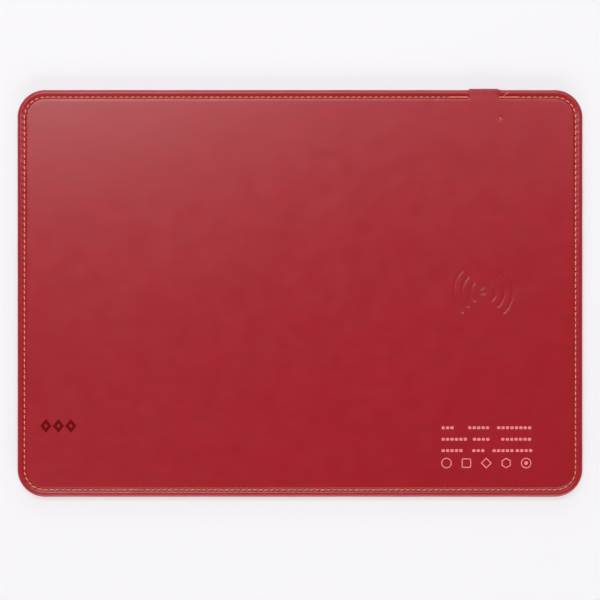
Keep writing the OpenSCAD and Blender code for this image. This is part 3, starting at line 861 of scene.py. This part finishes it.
def column_rows(at, plain, raised):
    """(points, painted shade values) of one column of the leather's outer rows."""
    s = sizes()
    anchor, outward = rim_point(at, s.seam_inset)
    phase = at / stitch_step() % 1
    near_hole = min(phase, 1 - phase) * stitch_step()
    mid_stitch = 0.5 - 0.5 * math.cos(2 * math.pi * phase)
    inset, height = plain[:, 0].copy(), plain[:, 1].copy()
    hole = float(hump(near_hole, NEEDLE_REACH))
    is_top = height > PAD_H - 1.2
    seam = inset - s.seam_inset
    height -= is_top * s.needle_depth * hole * hump(seam, 0.4)
    height += is_top * 0.09 * (mid_stitch - 0.5) * hump(seam - 1.0, 0.75)
    height += is_top * 0.07 * (mid_stitch - 0.6) * hump(seam + 1.5, 0.8)
    place = anchor + outward * s.corner_r
    drift = Vector((place.x / 9, place.y / 9, 1.7))
    height += is_top * 0.05 * noise.noise(drift) * hump(seam + 2.1, 1.3)
    inset += 0.06 * noise.noise(drift * 0.6) * hump(inset, 1.6)
    # painted shade: 0.45 along the groove and up to 1 at the needle holes, none over the inlet
    shade = 0.45 * hump(seam, 0.62) + 0.55 * hole * hump(seam, 0.55)
    share = inlet_share(place, outward)
    inset += share * (raised[:, 0] - plain[:, 0])
    height = height * (1 - share) + raised[:, 1] * share
    shade = shade * is_top * (1 - share)
    inset[0], inset[-1] = FIELD_INSET, s.turn_in
    points = [(*(anchor + outward * (s.corner_r - d)), z) for d, z in zip(inset, height)]
    points[0] = (points[0][0], points[0][1], face_height(points[0][0], points[0][1]))
    return points, shade


def field_points():
    """Points of the leather's flat face: an even net, with closer rings at the mark and the light."""
    s = sizes()
    mark_edge = s.mark_r + 2 * s.mark_step + 2.2
    step = 2.6
    points = []
    for i, x in enumerate(np.arange(-HALF_W, HALF_W, step)):
        for y in np.arange(-HALF_D, HALF_D, step) + (i % 2) * step / 2:
            near_mark = math.hypot(x - COIL_X, y - COIL_Y) < mark_edge + 1.0
            near_light = math.hypot(x - LIGHT_X, y - LIGHT_Y) < 3.4
            if inset_of(x, y) > FIELD_INSET + 1.6 and not near_mark and not near_light:
                points.append((x, y))
    offsets = (-1.15, -0.95, -0.78, -0.6, -0.42, -0.2, 0.0, 0.2, 0.42, 0.6, 0.78, 0.95, 1.15)
    radii = [s.mark_r + i * s.mark_step + away for i in range(3) for away in offsets]
    radii += [s.mark_r + (i - 0.5) * s.mark_step for i in range(1, 3)] + [3.4, 4.4, mark_edge]
    for radius in radii:
        points += ring_of(COIL_X, COIL_Y, radius, 280)
    for radius in (0.5, 0.9, 1.05, 1.2, 1.35, 1.55, 1.75, 1.9, 2.05, 2.2, 2.6):
        points += ring_of(COIL_X, COIL_Y, radius, 56)
    points.append((COIL_X, COIL_Y))
    for radius in (0.5, 0.85, 1.1, 1.4, 1.8, 2.3, 2.9):
        points += ring_of(LIGHT_X, LIGHT_Y, radius, 32)
    return points


def make_cover():
    """The leather: face, groove, bead and turned-under border in one closed skin."""
    s = sizes()
    plain, lining, side_row = cover_profile()
    raised = over_inlet(plain, side_row)
    skin = Skin()
    distances = column_distances()
    columns = [column_rows(at, plain, raised) for at in distances]
    rings = [skin.add([points[row] for points, _ in columns], [shades[row] for _, shades in columns])
             for row in range(len(plain))]
    for inner, outer in zip(rings, rings[1:]):
        skin.band(inner, outer)
    net = field_points()
    # painted shade: the pressed mark's grooves are darkened a little
    inside = skin.add([(x, y, face_height(x, y)) for x, y in net],
                      [0.1 * mark_press(x, y) for x, y in net])
    skin.fill(rings[0], inside, True)
    step = stitch_step()
    coarse = [i * step for i in range(round(seam_length() / step))]
    frames = [rim_point(at, s.seam_inset) for at in coarse]
    back = [skin.add([(*(anchor + outward * (s.corner_r - d)), z) for anchor, outward in frames])
            for d, z in lining]
    skin.strip(rings[-1], distances, back[0], coarse)
    for inner, outer in zip(back, back[1:]):
        skin.band(inner, outer)
    skin.fill(back[-1], [], False)
    cover = skin.build("leather_cover", "seam_shade")
    cut_with(cover, block("slot", (INLET_X - SLOT_HALF, COLLAR_END - SLOT_DEPTH, -1),
                          (INLET_X + SLOT_HALF, HALF_D + 2, Z_LEATHER)))
    cut_with(cover, pin("hole", LIGHT_X, LIGHT_Y, 0, PAD_H + 1, LIGHT_HOLE_R))
    cover.data.materials.clear()
    cover.data.materials.append(red_leather())
    smooth(cover, 50)
    finish_piece(cover, "red_leather", "top_leather")


# ------------------------------------------------------------------ thread and print, in rows

def row_tree():
    """Node tree that sets copies of a piece along lines, with small seeded irregularities."""
    if "Row Along Line" in bpy.data.node_groups:
        return bpy.data.node_groups["Row Along Line"]
    tree = bpy.data.node_groups.new("Row Along Line", "GeometryNodeTree")
    for name, kind, default in (
            ("Lines", "NodeSocketGeometry", None), ("Piece", "NodeSocketObject", None),
            ("Spacing", "NodeSocketFloat", 0.003), ("Slant", "NodeSocketFloat", 0.0),
            ("Turn Jitter", "NodeSocketFloat", 0.0), ("Size Jitter", "NodeSocketFloat", 0.0),
            ("Seed", "NodeSocketInt", 0), ("Finish", "NodeSocketMaterial", None)):
        socket = tree.interface.new_socket(name, in_out="INPUT", socket_type=kind)
        if default is not None:
            socket.default_value = default
    tree.interface.new_socket("Row", in_out="OUTPUT", socket_type="NodeSocketGeometry")

    def node(kind, **settings):
        """Adds a geometry node and sets its properties."""
        made = tree.nodes.new(kind)
        for key, value in settings.items():
            setattr(made, key, value)
        return made

    given = node("NodeGroupInput").outputs
    link = tree.links.new
    curve = node("GeometryNodeMeshToCurve")
    points = node("GeometryNodeCurveToPoints", mode="LENGTH")
    link(given["Lines"], curve.inputs["Mesh"])
    link(curve.outputs["Curve"], points.inputs["Curve"])
    link(given["Spacing"], points.inputs["Length"])
    align = node("FunctionNodeAlignRotationToVector", axis="X", pivot_axis="Z")
    link(points.outputs["Tangent"], align.inputs["Vector"])
    jitter = node("FunctionNodeRandomValue", data_type="FLOAT")
    minus = node("ShaderNodeMath", operation="MULTIPLY")
    minus.inputs[1].default_value = -1
    link(given["Turn Jitter"], minus.inputs[0])
    link(minus.outputs[0], jitter.inputs[2])
    link(given["Turn Jitter"], jitter.inputs[3])
    link(given["Seed"], jitter.inputs["Seed"])
    angle = node("ShaderNodeMath", operation="ADD")
    link(jitter.outputs[1], angle.inputs[0])
    link(given["Slant"], angle.inputs[1])
    euler = node("ShaderNodeCombineXYZ")
    link(angle.outputs[0], euler.inputs["Z"])
    turn = node("FunctionNodeEulerToRotation")
    link(euler.outputs[0], turn.inputs[0])
    rotate = node("FunctionNodeRotateRotation", rotation_space="LOCAL")
    link(align.outputs["Rotation"], rotate.inputs["Rotation"])
    link(turn.outputs["Rotation"], rotate.inputs["Rotate By"])
    smaller = node("ShaderNodeMath", operation="SUBTRACT")
    smaller.inputs[0].default_value = 1
    larger = node("ShaderNodeMath", operation="ADD")
    larger.inputs[0].default_value = 1
    link(given["Size Jitter"], smaller.inputs[1])
    link(given["Size Jitter"], larger.inputs[1])
    size = node("FunctionNodeRandomValue", data_type="FLOAT_VECTOR")
    link(smaller.outputs[0], size.inputs[0])
    link(larger.outputs[0], size.inputs[1])
    link(given["Seed"], size.inputs["Seed"])
    source = node("GeometryNodeObjectInfo")
    link(given["Piece"], source.inputs["Object"])
    place = node("GeometryNodeInstanceOnPoints")
    link(points.outputs["Points"], place.inputs["Points"])
    link(source.outputs["Geometry"], place.inputs["Instance"])
    link(rotate.outputs["Rotation"], place.inputs["Rotation"])
    link(size.outputs[0], place.inputs["Scale"])
    realize = node("GeometryNodeRealizeInstances")
    link(place.outputs["Instances"], realize.inputs["Geometry"])
    paint = node("GeometryNodeSetMaterial")
    link(realize.outputs["Geometry"], paint.inputs["Geometry"])
    link(given["Finish"], paint.inputs["Material"])
    link(paint.outputs["Geometry"], node("NodeGroupOutput").inputs["Row"])
    return tree


def row_of(name, lines, piece, spacing, finish, slant=0.0, turn_jitter=0.0, size_jitter=0.0, seed=0):
    """Copies of a piece along lines of points, all in millimetres, as one plain mesh."""
    points, edges = [], []
    for line in lines:
        start = len(points)
        points += [tuple(c * MM for c in p) for p in line]
        edges += [(start + i, start + i + 1) for i in range(len(line) - 1)]
    mesh = bpy.data.meshes.new(name)
    mesh.from_pydata(points, edges, [])
    row = bpy.data.objects.new(name, mesh)
    bpy.context.scene.collection.objects.link(row)
    modifier = row.modifiers.new("Row", "NODES")
    modifier.node_group = row_tree()
    values = {"Piece": piece, "Spacing": spacing * MM * 0.998, "Slant": slant, "Turn Jitter": turn_jitter,
              "Size Jitter": size_jitter, "Seed": seed, "Finish": finish}
    for item in row_tree().interface.items_tree:
        if item.in_out == "INPUT" and item.name in values:
            modifier[item.identifier] = values[item.name]
    become_evaluated(row)
    return row


def one_stitch(side):
    """One stitch of two twisted plies, its ends drawn into the holes; side is 1 on top, -1 below."""
    s = sizes()
    reach = s.stitch_l / 2
    crest = 0.2
    skin = Skin()
    for ply in (0.0, math.pi):
        line = []
        for t in np.linspace(-1, 1, 8):
            twist = ply + 0.8 * math.pi * t
            away = s.thread_r * 0.8
            lift = crest * (1 - t * t) - 0.5 * abs(t) ** 4
            line.append((t * reach, away * math.cos(twist), side * (lift + away * math.sin(twist))))
        skin.tube(line, s.thread_r, 5)
    return skin.build("one_stitch")


def seam_line(z, first=0.0, last=None):
    """Points along the seam between two distances."""
    length = seam_length()
    last = length if last is None else last
    inner_r = sizes().corner_r - sizes().seam_inset
    points = []
    for at in np.arange(first, last + 1e-6, (last - first) / round((last - first) / 0.75)):
        anchor, outward = rim_point(at % length, sizes().seam_inset)
        points.append((*(anchor + outward * inner_r), z))
    return points


def sewn_stretch():
    """Distances of the first and the last stitch, from one side of the inlet round to the other."""
    step = stitch_step()
    start = (math.floor(distance_at(INLET_X + sizes().seam_gap / 2) / step - 0.5) + 1.5) * step
    end = (math.ceil(distance_at(INLET_X - sizes().seam_gap / 2) / step - 0.5) - 0.5) * step
    return start, end + seam_length()


def join(target, *others):
    """Joins other objects into the first one."""
    with bpy.context.temp_override(active_object=target, selected_objects=[target, *others],
                                   selected_editable_objects=[target, *others]):
        bpy.ops.object.join()
    return target


def make_needle_thread():
    """The stitches on top, the back-tacks beside the inlet and the loose thread end."""
    s = sizes()
    thread = orange_thread()
    start, end = sewn_stretch()
    step = stitch_step()
    z = Z_GROOVE + s.thread_r * 1.3
    stitch = one_stitch(1)
    seam = row_of("needle_stitches", [seam_line(z, start, end)], stitch, step, thread, s.stitch_slant,
                  math.radians(2.5), 0.05, s.seed)
    tacks = [seam_line(z + 0.22, start + 0.45 * step, start + 2.45 * step),
             seam_line(z + 0.22, end - 2.45 * step, end - 0.45 * step)]
    tack = row_of("back_tacks", tacks, stitch, step, thread, -0.4 * s.stitch_slant,
                  math.radians(3), 0.05, s.seed + 1)
    bpy.data.objects.remove(stitch)
    skin = Skin()
    tail = [(0, 0, 0.1), (0.5, 0.35, 0.42), (1.1, 0.95, 0.52), (1.6, 1.25, 0.5), (2.2, 1.45, 0.42),
            (2.7, 1.9, 0.28)]
    root = Vector((INLET_X + s.seam_gap / 2 + 4.0, HALF_D - 3.5, PAD_H - 0.5))
    skin.tube([tuple(root + Vector(p)) for p in tail], s.thread_r * 0.8, 7)
    end_piece = skin.build("thread_end")
    end_piece.data.materials.append(thread)
    sewn = join(seam, tack, end_piece)
    sewn.name = "needle_stitches"
    smooth(sewn, 60)
    finish_piece(sewn, "orange_thread", "needle_thread")


def make_bobbin_thread():
    """The stitches underneath, in the channel of the non-slip sheet."""
    s = sizes()
    stitch = one_stitch(-1)
    start, end = sewn_stretch()
    seam = row_of("bobbin_stitches", [seam_line(Z_BOBBIN + 0.23, start, end)], stitch, stitch_step(),
                  bpy.data.materials["orange_thread"], s.stitch_slant, math.radians(2.5), 0.05, s.seed + 2)
    bpy.data.objects.remove(stitch)
    smooth(seam, 60)
    finish_piece(seam, "orange_thread", "bobbin_thread")


# ------------------------------------------------------------------ print and stamp

PRINT_ROWS = (  # height of each row of dashes and where its groups begin and end
    (-71.2, ((75.0, 82.5), (89.1, 101.2), (104.4, 122.9))),
    (-77.3, ((75.0, 89.1), (91.6, 101.4), (106.6, 122.9))),
    (-83.3, ((75.0, 87.0), (91.3, 98.4), (102.0, 112.1), (114.3, 122.9))),
)
SHAPE_Y = -89.9
SHAPE_W = 5.6
SHAPE_LINE = 0.55


def rounded_bar(w, h, corner):
    """Outline of a bar with round corners, anticlockwise."""
    points = []
    for x, y, start in ((1, 1, 0), (-1, 1, 90), (-1, -1, 180), (1, -1, 270)):
        for a in (start, start + 30, start + 60, start + 90):
            points.append((x * (w / 2 - corner) + corner * math.cos(math.radians(a)),
                           y * (h / 2 - corner) + corner * math.sin(math.radians(a))))
    return points


def polygon_ring(x, y, radius, sides, start):
    """Outline of a regular polygon and the one inside it, for a drawn shape."""
    inner_r = radius - SHAPE_LINE / math.cos(math.pi / sides)
    return ring_of(x, y, radius, sides, start), ring_of(x, y, inner_r, sides, start)


def print_shapes(skin):
    """Five plain shapes under the rows: ring, square, diamond, hexagon and a dot in a ring."""
    r = SHAPE_W / 2
    left, right = 77.6, 119.8
    centres = [left + (right - left) * i / 4 for i in range(5)]
    lie = face_height
    skin.plate(*polygon_ring(centres[0], SHAPE_Y, r, 40, 0.0), lie, sizes().ink_t)
    square = [(centres[1] + x, SHAPE_Y + y) for x, y in rounded_bar(1.8 * r, 1.8 * r, 0.8)]
    hole = [(centres[1] + x, SHAPE_Y + y)
            for x, y in rounded_bar(1.8 * r - 2 * SHAPE_LINE, 1.8 * r - 2 * SHAPE_LINE, 0.4)]
    skin.plate(square, hole, lie, sizes().ink_t)
    skin.plate(*polygon_ring(centres[2], SHAPE_Y, r * 1.05, 4, 0.0), lie, sizes().ink_t)
    skin.plate(*polygon_ring(centres[3], SHAPE_Y, r, 6, math.pi / 6), lie, sizes().ink_t)
    skin.plate(*polygon_ring(centres[4], SHAPE_Y, r, 40, 0.0), lie, sizes().ink_t)
    skin.plate(ring_of(centres[4], SHAPE_Y, r * 0.36, 24), [], lie, sizes().ink_t)


def make_print():
    """Rows of plain dashes and five plain shapes, printed near the front right corner."""
    s = sizes()
    ink = ink_finish("print_ink", tuple(colours().print_ink), 0.5)
    skin = Skin()
    skin.plate(rounded_bar(s.dash_w, s.dash_h, 0.35), [], lambda x, y: 0.0, s.ink_t)
    dash = skin.build("one_dash")
    lines = []
    for y, groups in PRINT_ROWS:
        for first, last in groups:
            count = max(2, round((last - first - s.dash_w) / s.dash_pitch) + 1)
            lines.append([(first + s.dash_w / 2, y, 0),
                          (first + s.dash_w / 2 + (count - 1) * s.dash_pitch, y, 0)])
    rows = row_of("print_rows", lines, dash, s.dash_pitch, ink, 0.0, 0.0, 0.02, s.seed + 3)
    bpy.data.objects.remove(dash)
    for vertex in rows.data.vertices:
        vertex.co.z += face_height(vertex.co.x / MM, vertex.co.y / MM) * MM
    skin = Skin()
    print_shapes(skin)
    shapes = skin.build("print_shapes")
    shapes.data.materials.append(ink)
    printed = join(rows, shapes)
    smooth(printed, 30)
    finish_piece(printed, "red_leather")


def make_stamp():
    """Three plain lozenges stamped near the front left corner."""
    skin = Skin()
    for x in (-134.6, -128.0, -121.4):
        outline = [(x + 3.0, -70.2), (x, -66.5), (x - 3.0, -70.2), (x, -73.9)]
        inner = [(x + 1.0, -70.2), (x, -68.95), (x - 1.0, -70.2), (x, -71.45)]
        skin.plate(outline, inner, face_height, sizes().ink_t * 0.7)
    stamp = skin.build("stamped_lozenges")
    stamp.data.materials.append(ink_finish("stamp_ink", tuple(colours().stamp_ink), 0.4, 0.1))
    smooth(stamp, 30)
    finish_piece(stamp, "red_leather")


# ------------------------------------------------------------------ non-slip sheet

def make_nonslip_sheet():
    """The brushed sheet underneath, with the channel that the lower stitches lie in."""
    s = sizes()
    low, high = s.seam_inset - s.groove_half, s.seam_inset + s.groove_half
    channel = 0.52
    rows = [(FIELD_INSET, 0.0), (high + 1.0, 0.0), (high + 0.35, 0.02), (high + 0.1, 0.16),
            (high - 0.02, channel), (low + 0.02, channel), (low - 0.1, 0.16), (low - 0.35, 0.02),
            (low - 0.8, 0.0), (SHEET_INSET + 0.35, 0.0), (SHEET_INSET + 0.12, 0.07),
            (SHEET_INSET + 0.02, 0.25), (SHEET_INSET, SHEET_T - 0.1), (SHEET_INSET + 0.1, SHEET_T),
            (FIELD_INSET, SHEET_T)]
    step = stitch_step()
    skin = Skin()
    places = [i * step / 2 for i in range(2 * round(seam_length() / step))]
    frames = [rim_point(at, s.seam_inset) for at in places]
    rings = []
    for d, z in rows:
        points = []
        for k, (anchor, outward) in enumerate(frames):
            pucker = 0.04 * (k % 2) * float(hump(d - s.seam_inset, 1.2)) if z < 0.3 else 0.0
            points.append((*(anchor + outward * (s.corner_r - d)), z + pucker))
        rings.append(skin.add(points))
    for first, second in zip(rings, rings[1:]):
        skin.band(second, first)
    net = [(x, y) for x in np.arange(-HALF_W, HALF_W, 5.0) for y in np.arange(-HALF_D, HALF_D, 5.0)
           if inset_of(x, y) > FIELD_INSET + 2.5]
    under = skin.add([(x, y, 0.03 * max(0.0, noise.noise(Vector((x / 20, y / 20, 2.2))))) for x, y in net])
    skin.fill(rings[0], under, False)
    skin.fill(rings[-1], [], True)
    sheet = skin.build("nonslip_sheet")
    sheet.data.materials.append(nonslip_cloth())
    smooth(sheet, 45)
    finish_piece(sheet, "nonslip_cloth", "base_sheet")


# ------------------------------------------------------------------ stage

def soft_box(name, place, aim, width, depth, power):
    """Rectangular softbox at a place, turned towards a point."""
    data = bpy.data.lights.new(name, "AREA")
    data.shape = "RECTANGLE"
    data.size = width
    data.size_y = depth
    data.energy = power
    light = bpy.data.objects.new(name, data)
    bpy.context.scene.collection.objects.link(light)
    light.location = place
    light.rotation_mode = "QUATERNION"
    light.rotation_quaternion = (Vector(aim) - Vector(place)).to_track_quat("-Z", "Y")


WALL_R = 5000
WALL_H = 2500
PALE_GLOW = (1.0, 0.985, 1.01, 1.0)


def make_floor():
    """Wide pale floor just under the pad."""
    floor = block("studio_floor", (-WALL_R, -WALL_R, -20), (WALL_R, WALL_R, 0))
    made = Finish("studio_floor", 0.9, specular_ior_level=0.1, emission_strength=0.59)
    made.shader.inputs["Emission Color"].default_value = PALE_GLOW
    made.colour(made.mixed(made.noise(60, 2), (0.30, 0.295, 0.303), (0.31, 0.305, 0.313)))
    floor.data.materials.append(made.material)


def make_wall():
    """Low pale wall all round the floor, open above."""
    skin = Skin()
    low, high, inner, outer = -20, WALL_H, WALL_R, WALL_R + 40
    rings = [skin.add([(x, y, z) for x, y in ring_of(0, 0, radius, 96)])
             for radius, z in ((inner, low), (inner, high), (outer, high), (outer, low))]
    for first, second in zip(rings, rings[1:] + rings[:1]):
        skin.band(second, first)
    wall = skin.build("studio_wall")
    made = Finish("studio_wall", 0.9, specular_ior_level=0.1, emission_strength=0.86)
    made.shader.inputs["Emission Color"].default_value = PALE_GLOW
    made.colour(made.mixed(made.noise(300, 2), (0.04, 0.04, 0.04), (0.05, 0.05, 0.05)))
    wall.data.materials.append(made.material)
    smooth(wall, 40)


def make_studio():
    """Floor and wall, camera straight above, softboxes and the dim surround."""
    scene = bpy.context.scene
    studio = scene.pad_studio
    make_floor()
    make_wall()
    data = bpy.data.cameras.new("studio_camera")
    data.lens = studio.lens
    data.sensor_width = 36
    data.clip_start = 0.01
    data.clip_end = 50
    camera = bpy.data.objects.new("studio_camera", data)
    scene.collection.objects.link(camera)
    camera.location = (0, studio.camera_y, studio.camera_height)
    scene.camera = camera
    soft_box("key_softbox", (-0.22, 0.52, 1.1), (0, 0.03, 0), 0.65, 0.3, studio.key_power)
    soft_box("near_softbox", (-0.45, -0.52, 1.1), (0, -0.03, 0), 0.4, 0.3, studio.near_power)
    soft_box("right_softbox", (0.42, 0.5, 1.1), (0, 0.03, 0), 0.4, 0.3, studio.right_power)
    soft_box("front_softbox", (0.2, -1.5, 0.75), (0, 0, 0), 2.0, 0.7, studio.front_power)
    soft_box("back_softbox", (0, 1.7, 0.8), (0, 0, 0), 2.0, 0.7, studio.back_power)
    world = bpy.data.worlds.new("studio_surround")
    scene.world = world
    world.use_nodes = True
    background = world.node_tree.nodes["Background"]
    background.inputs["Color"].default_value = (0.98, 0.99, 1.0, 1.0)
    background.inputs["Strength"].default_value = studio.world_strength
    scene.view_settings.view_transform = "Standard"
    scene.view_settings.look = "None"


# ------------------------------------------------------------------ operators

class PAD_OT_leather_cover(bpy.types.Operator):
    """Make the leather cover with its groove, bead, inlet opening and pressed mark"""
    bl_idname = "charging_pad.leather_cover"
    bl_label = "Leather Cover"
    bl_options = {"REGISTER", "UNDO"}

    def execute(self, context):
        make_cover()
        return {"FINISHED"}


class PAD_OT_needle_thread(bpy.types.Operator):
    """Sew the stitches on top, with back-tacks and the loose thread end"""
    bl_idname = "charging_pad.needle_thread"
    bl_label = "Needle Thread"
    bl_options = {"REGISTER", "UNDO"}

    def execute(self, context):
        make_needle_thread()
        return {"FINISHED"}


class PAD_OT_bobbin_thread(bpy.types.Operator):
    """Sew the stitches underneath"""
    bl_idname = "charging_pad.bobbin_thread"
    bl_label = "Bobbin Thread"
    bl_options = {"REGISTER", "UNDO"}

    def execute(self, context):
        make_bobbin_thread()
        return {"FINISHED"}


class PAD_OT_rating_print(bpy.types.Operator):
    """Print the rows of plain dashes and the plain shapes"""
    bl_idname = "charging_pad.rating_print"
    bl_label = "Printed Rows"
    bl_options = {"REGISTER", "UNDO"}

    def execute(self, context):
        make_print()
        return {"FINISHED"}


class PAD_OT_stamp(bpy.types.Operator):
    """Stamp the three plain lozenges"""
    bl_idname = "charging_pad.stamp"
    bl_label = "Stamped Lozenges"
    bl_options = {"REGISTER", "UNDO"}

    def execute(self, context):
        make_stamp()
        return {"FINISHED"}


class PAD_OT_nonslip_sheet(bpy.types.Operator):
    """Make the brushed non-slip sheet underneath"""
    bl_idname = "charging_pad.nonslip_sheet"
    bl_label = "Non-slip Sheet"
    bl_options = {"REGISTER", "UNDO"}

    def execute(self, context):
        make_nonslip_sheet()
        return {"FINISHED"}


class PAD_OT_core_layers(bpy.types.Operator):
    """Finish the core board and the foam"""
    bl_idname = "charging_pad.core_layers"
    bl_label = "Core Board and Foam"
    bl_options = {"REGISTER", "UNDO"}

    def execute(self, context):
        give_finish(core_board_finish(), "core_board")
        give_finish(foam_finish(), "cushion_foam")
        return {"FINISHED"}


class PAD_OT_charger_case(bpy.types.Operator):
    """Finish the charger's case, its screws and the inlet's collar"""
    bl_idname = "charging_pad.charger_case"
    bl_label = "Charger Case"
    bl_options = {"REGISTER", "UNDO"}

    def execute(self, context):
        give_finish(case_plastic(), "module_tray", "module_lid")
        give_finish(collar_plastic(), "inlet_collar")
        give_finish(turned_metal("screw_steel", (0.62, 0.62, 0.64), 0.3), "module_screws")
        return {"FINISHED"}


class PAD_OT_power_inlet(bpy.types.Operator):
    """Finish the power inlet's shell, tongue and contacts"""
    bl_idname = "charging_pad.power_inlet"
    bl_label = "Power Inlet"
    bl_options = {"REGISTER", "UNDO"}

    def execute(self, context):
        give_finish(turned_metal("inlet_steel", (0.60, 0.60, 0.61), 0.28), "usb_shell")
        give_finish(mottled_finish("inlet_plastic", linear(24, 24, 26), 1.5, 0.45), "usb_tongue")
        give_finish(gold_plate(), "usb_contacts")
        return {"FINISHED"}


class PAD_OT_circuit_board(bpy.types.Operator):
    """Finish the circuit board and the parts on it"""
    bl_idname = "charging_pad.circuit_board"
    bl_label = "Circuit Board"
    bl_options = {"REGISTER", "UNDO"}

    def execute(self, context):
        give_finish(board_laminate(), "circuit_board")
        give_finish(mottled_finish("chip_epoxy", linear(30, 31, 34), 0.9, 0.5), "controller_chip",
                    "power_chips")
        give_finish(mottled_finish("inductor_ferrite", linear(62, 62, 66), 0.7, 0.6), "power_inductor")
        give_finish(capacitor_ceramic(), "resonant_capacitors", "ceramic_capacitors")
        give_finish(mottled_finish("resistor_ceramic", linear(42, 42, 46), 0.5, 0.4), "chip_resistors")
        give_finish(turned_metal("crystal_can", (0.72, 0.72, 0.70), 0.3), "timing_crystal")
        return {"FINISHED"}


class PAD_OT_status_light(bpy.types.Operator):
    """Finish the status light and its guide"""
    bl_idname = "charging_pad.status_light"
    bl_label = "Status Light"
    bl_options = {"REGISTER", "UNDO"}

    def execute(self, context):
        give_finish(mottled_finish("led_resin", linear(236, 226, 190), 0.4, 0.35), "status_led")
        give_finish(clear_acrylic(), "light_guide")
        return {"FINISHED"}


class PAD_OT_coil_stack(bpy.types.Operator):
    """Finish the ferrite, the film, the coil, its leads and the temperature sensor"""
    bl_idname = "charging_pad.coil_stack"
    bl_label = "Coil Stack"
    bl_options = {"REGISTER", "UNDO"}

    def execute(self, context):
        give_finish(mottled_finish("ferrite", linear(58, 58, 62), 2.5, 0.65, 0.14, 0.02), "ferrite_plate")
        give_finish(adhesive_film(), "coil_adhesive")
        give_finish(litz_copper(), "charging_coil", "coil_leads")
        give_finish(mottled_finish("sensor_epoxy", linear(28, 26, 26), 0.6, 0.35), "thermistor")
        give_finish(red_wire(), "thermistor_leads")
        return {"FINISHED"}


class PAD_OT_studio(bpy.types.Operator):
    """Set up the floor, the lights and the camera"""
    bl_idname = "charging_pad.studio"
    bl_label = "Studio"
    bl_options = {"REGISTER", "UNDO"}

    def execute(self, context):
        make_studio()
        return {"FINISHED"}


class PAD_PT_panel(bpy.types.Panel):
    """Charging pad sizes, colours and building steps"""
    bl_idname = "PAD_PT_panel"
    bl_label = "Charging Pad"
    bl_space_type = "VIEW_3D"
    bl_region_type = "UI"
    bl_category = "Charging Pad"

    def draw(self, context):
        """Lists the settings and the building steps."""
        for group in (context.scene.pad_sizes, context.scene.pad_colours, context.scene.pad_studio):
            box = self.layout.box()
            for key in group.__annotations__:
                box.prop(group, key)
        for step in STEPS:
            self.layout.operator(step.bl_idname)


GROUPS = (PadSizes, PadColours, PadStudio)
STEPS = (PAD_OT_leather_cover, PAD_OT_needle_thread, PAD_OT_bobbin_thread, PAD_OT_rating_print,
         PAD_OT_stamp, PAD_OT_nonslip_sheet, PAD_OT_core_layers, PAD_OT_charger_case,
         PAD_OT_power_inlet, PAD_OT_circuit_board, PAD_OT_status_light, PAD_OT_coil_stack,
         PAD_OT_studio)


def register():
    """Registers the classes and hangs the settings on the scene."""
    for kind in (*GROUPS, *STEPS, PAD_PT_panel):
        bpy.utils.register_class(kind)
    bpy.types.Scene.pad_sizes = bpy.props.PointerProperty(type=PadSizes)
    bpy.types.Scene.pad_colours = bpy.props.PointerProperty(type=PadColours)
    bpy.types.Scene.pad_studio = bpy.props.PointerProperty(type=PadStudio)


def unregister():
    """Takes the settings off the scene and unregisters the classes."""
    del bpy.types.Scene.pad_studio
    del bpy.types.Scene.pad_colours
    del bpy.types.Scene.pad_sizes
    for kind in reversed((*GROUPS, *STEPS, PAD_PT_panel)):
        bpy.utils.unregister_class(kind)


def main():
    """Builds the pad step by step."""
    register()
    for step in STEPS:
        group, name = step.bl_idname.split(".")
        getattr(getattr(bpy.ops, group), name)()


if __name__ == "__main__":
    main()
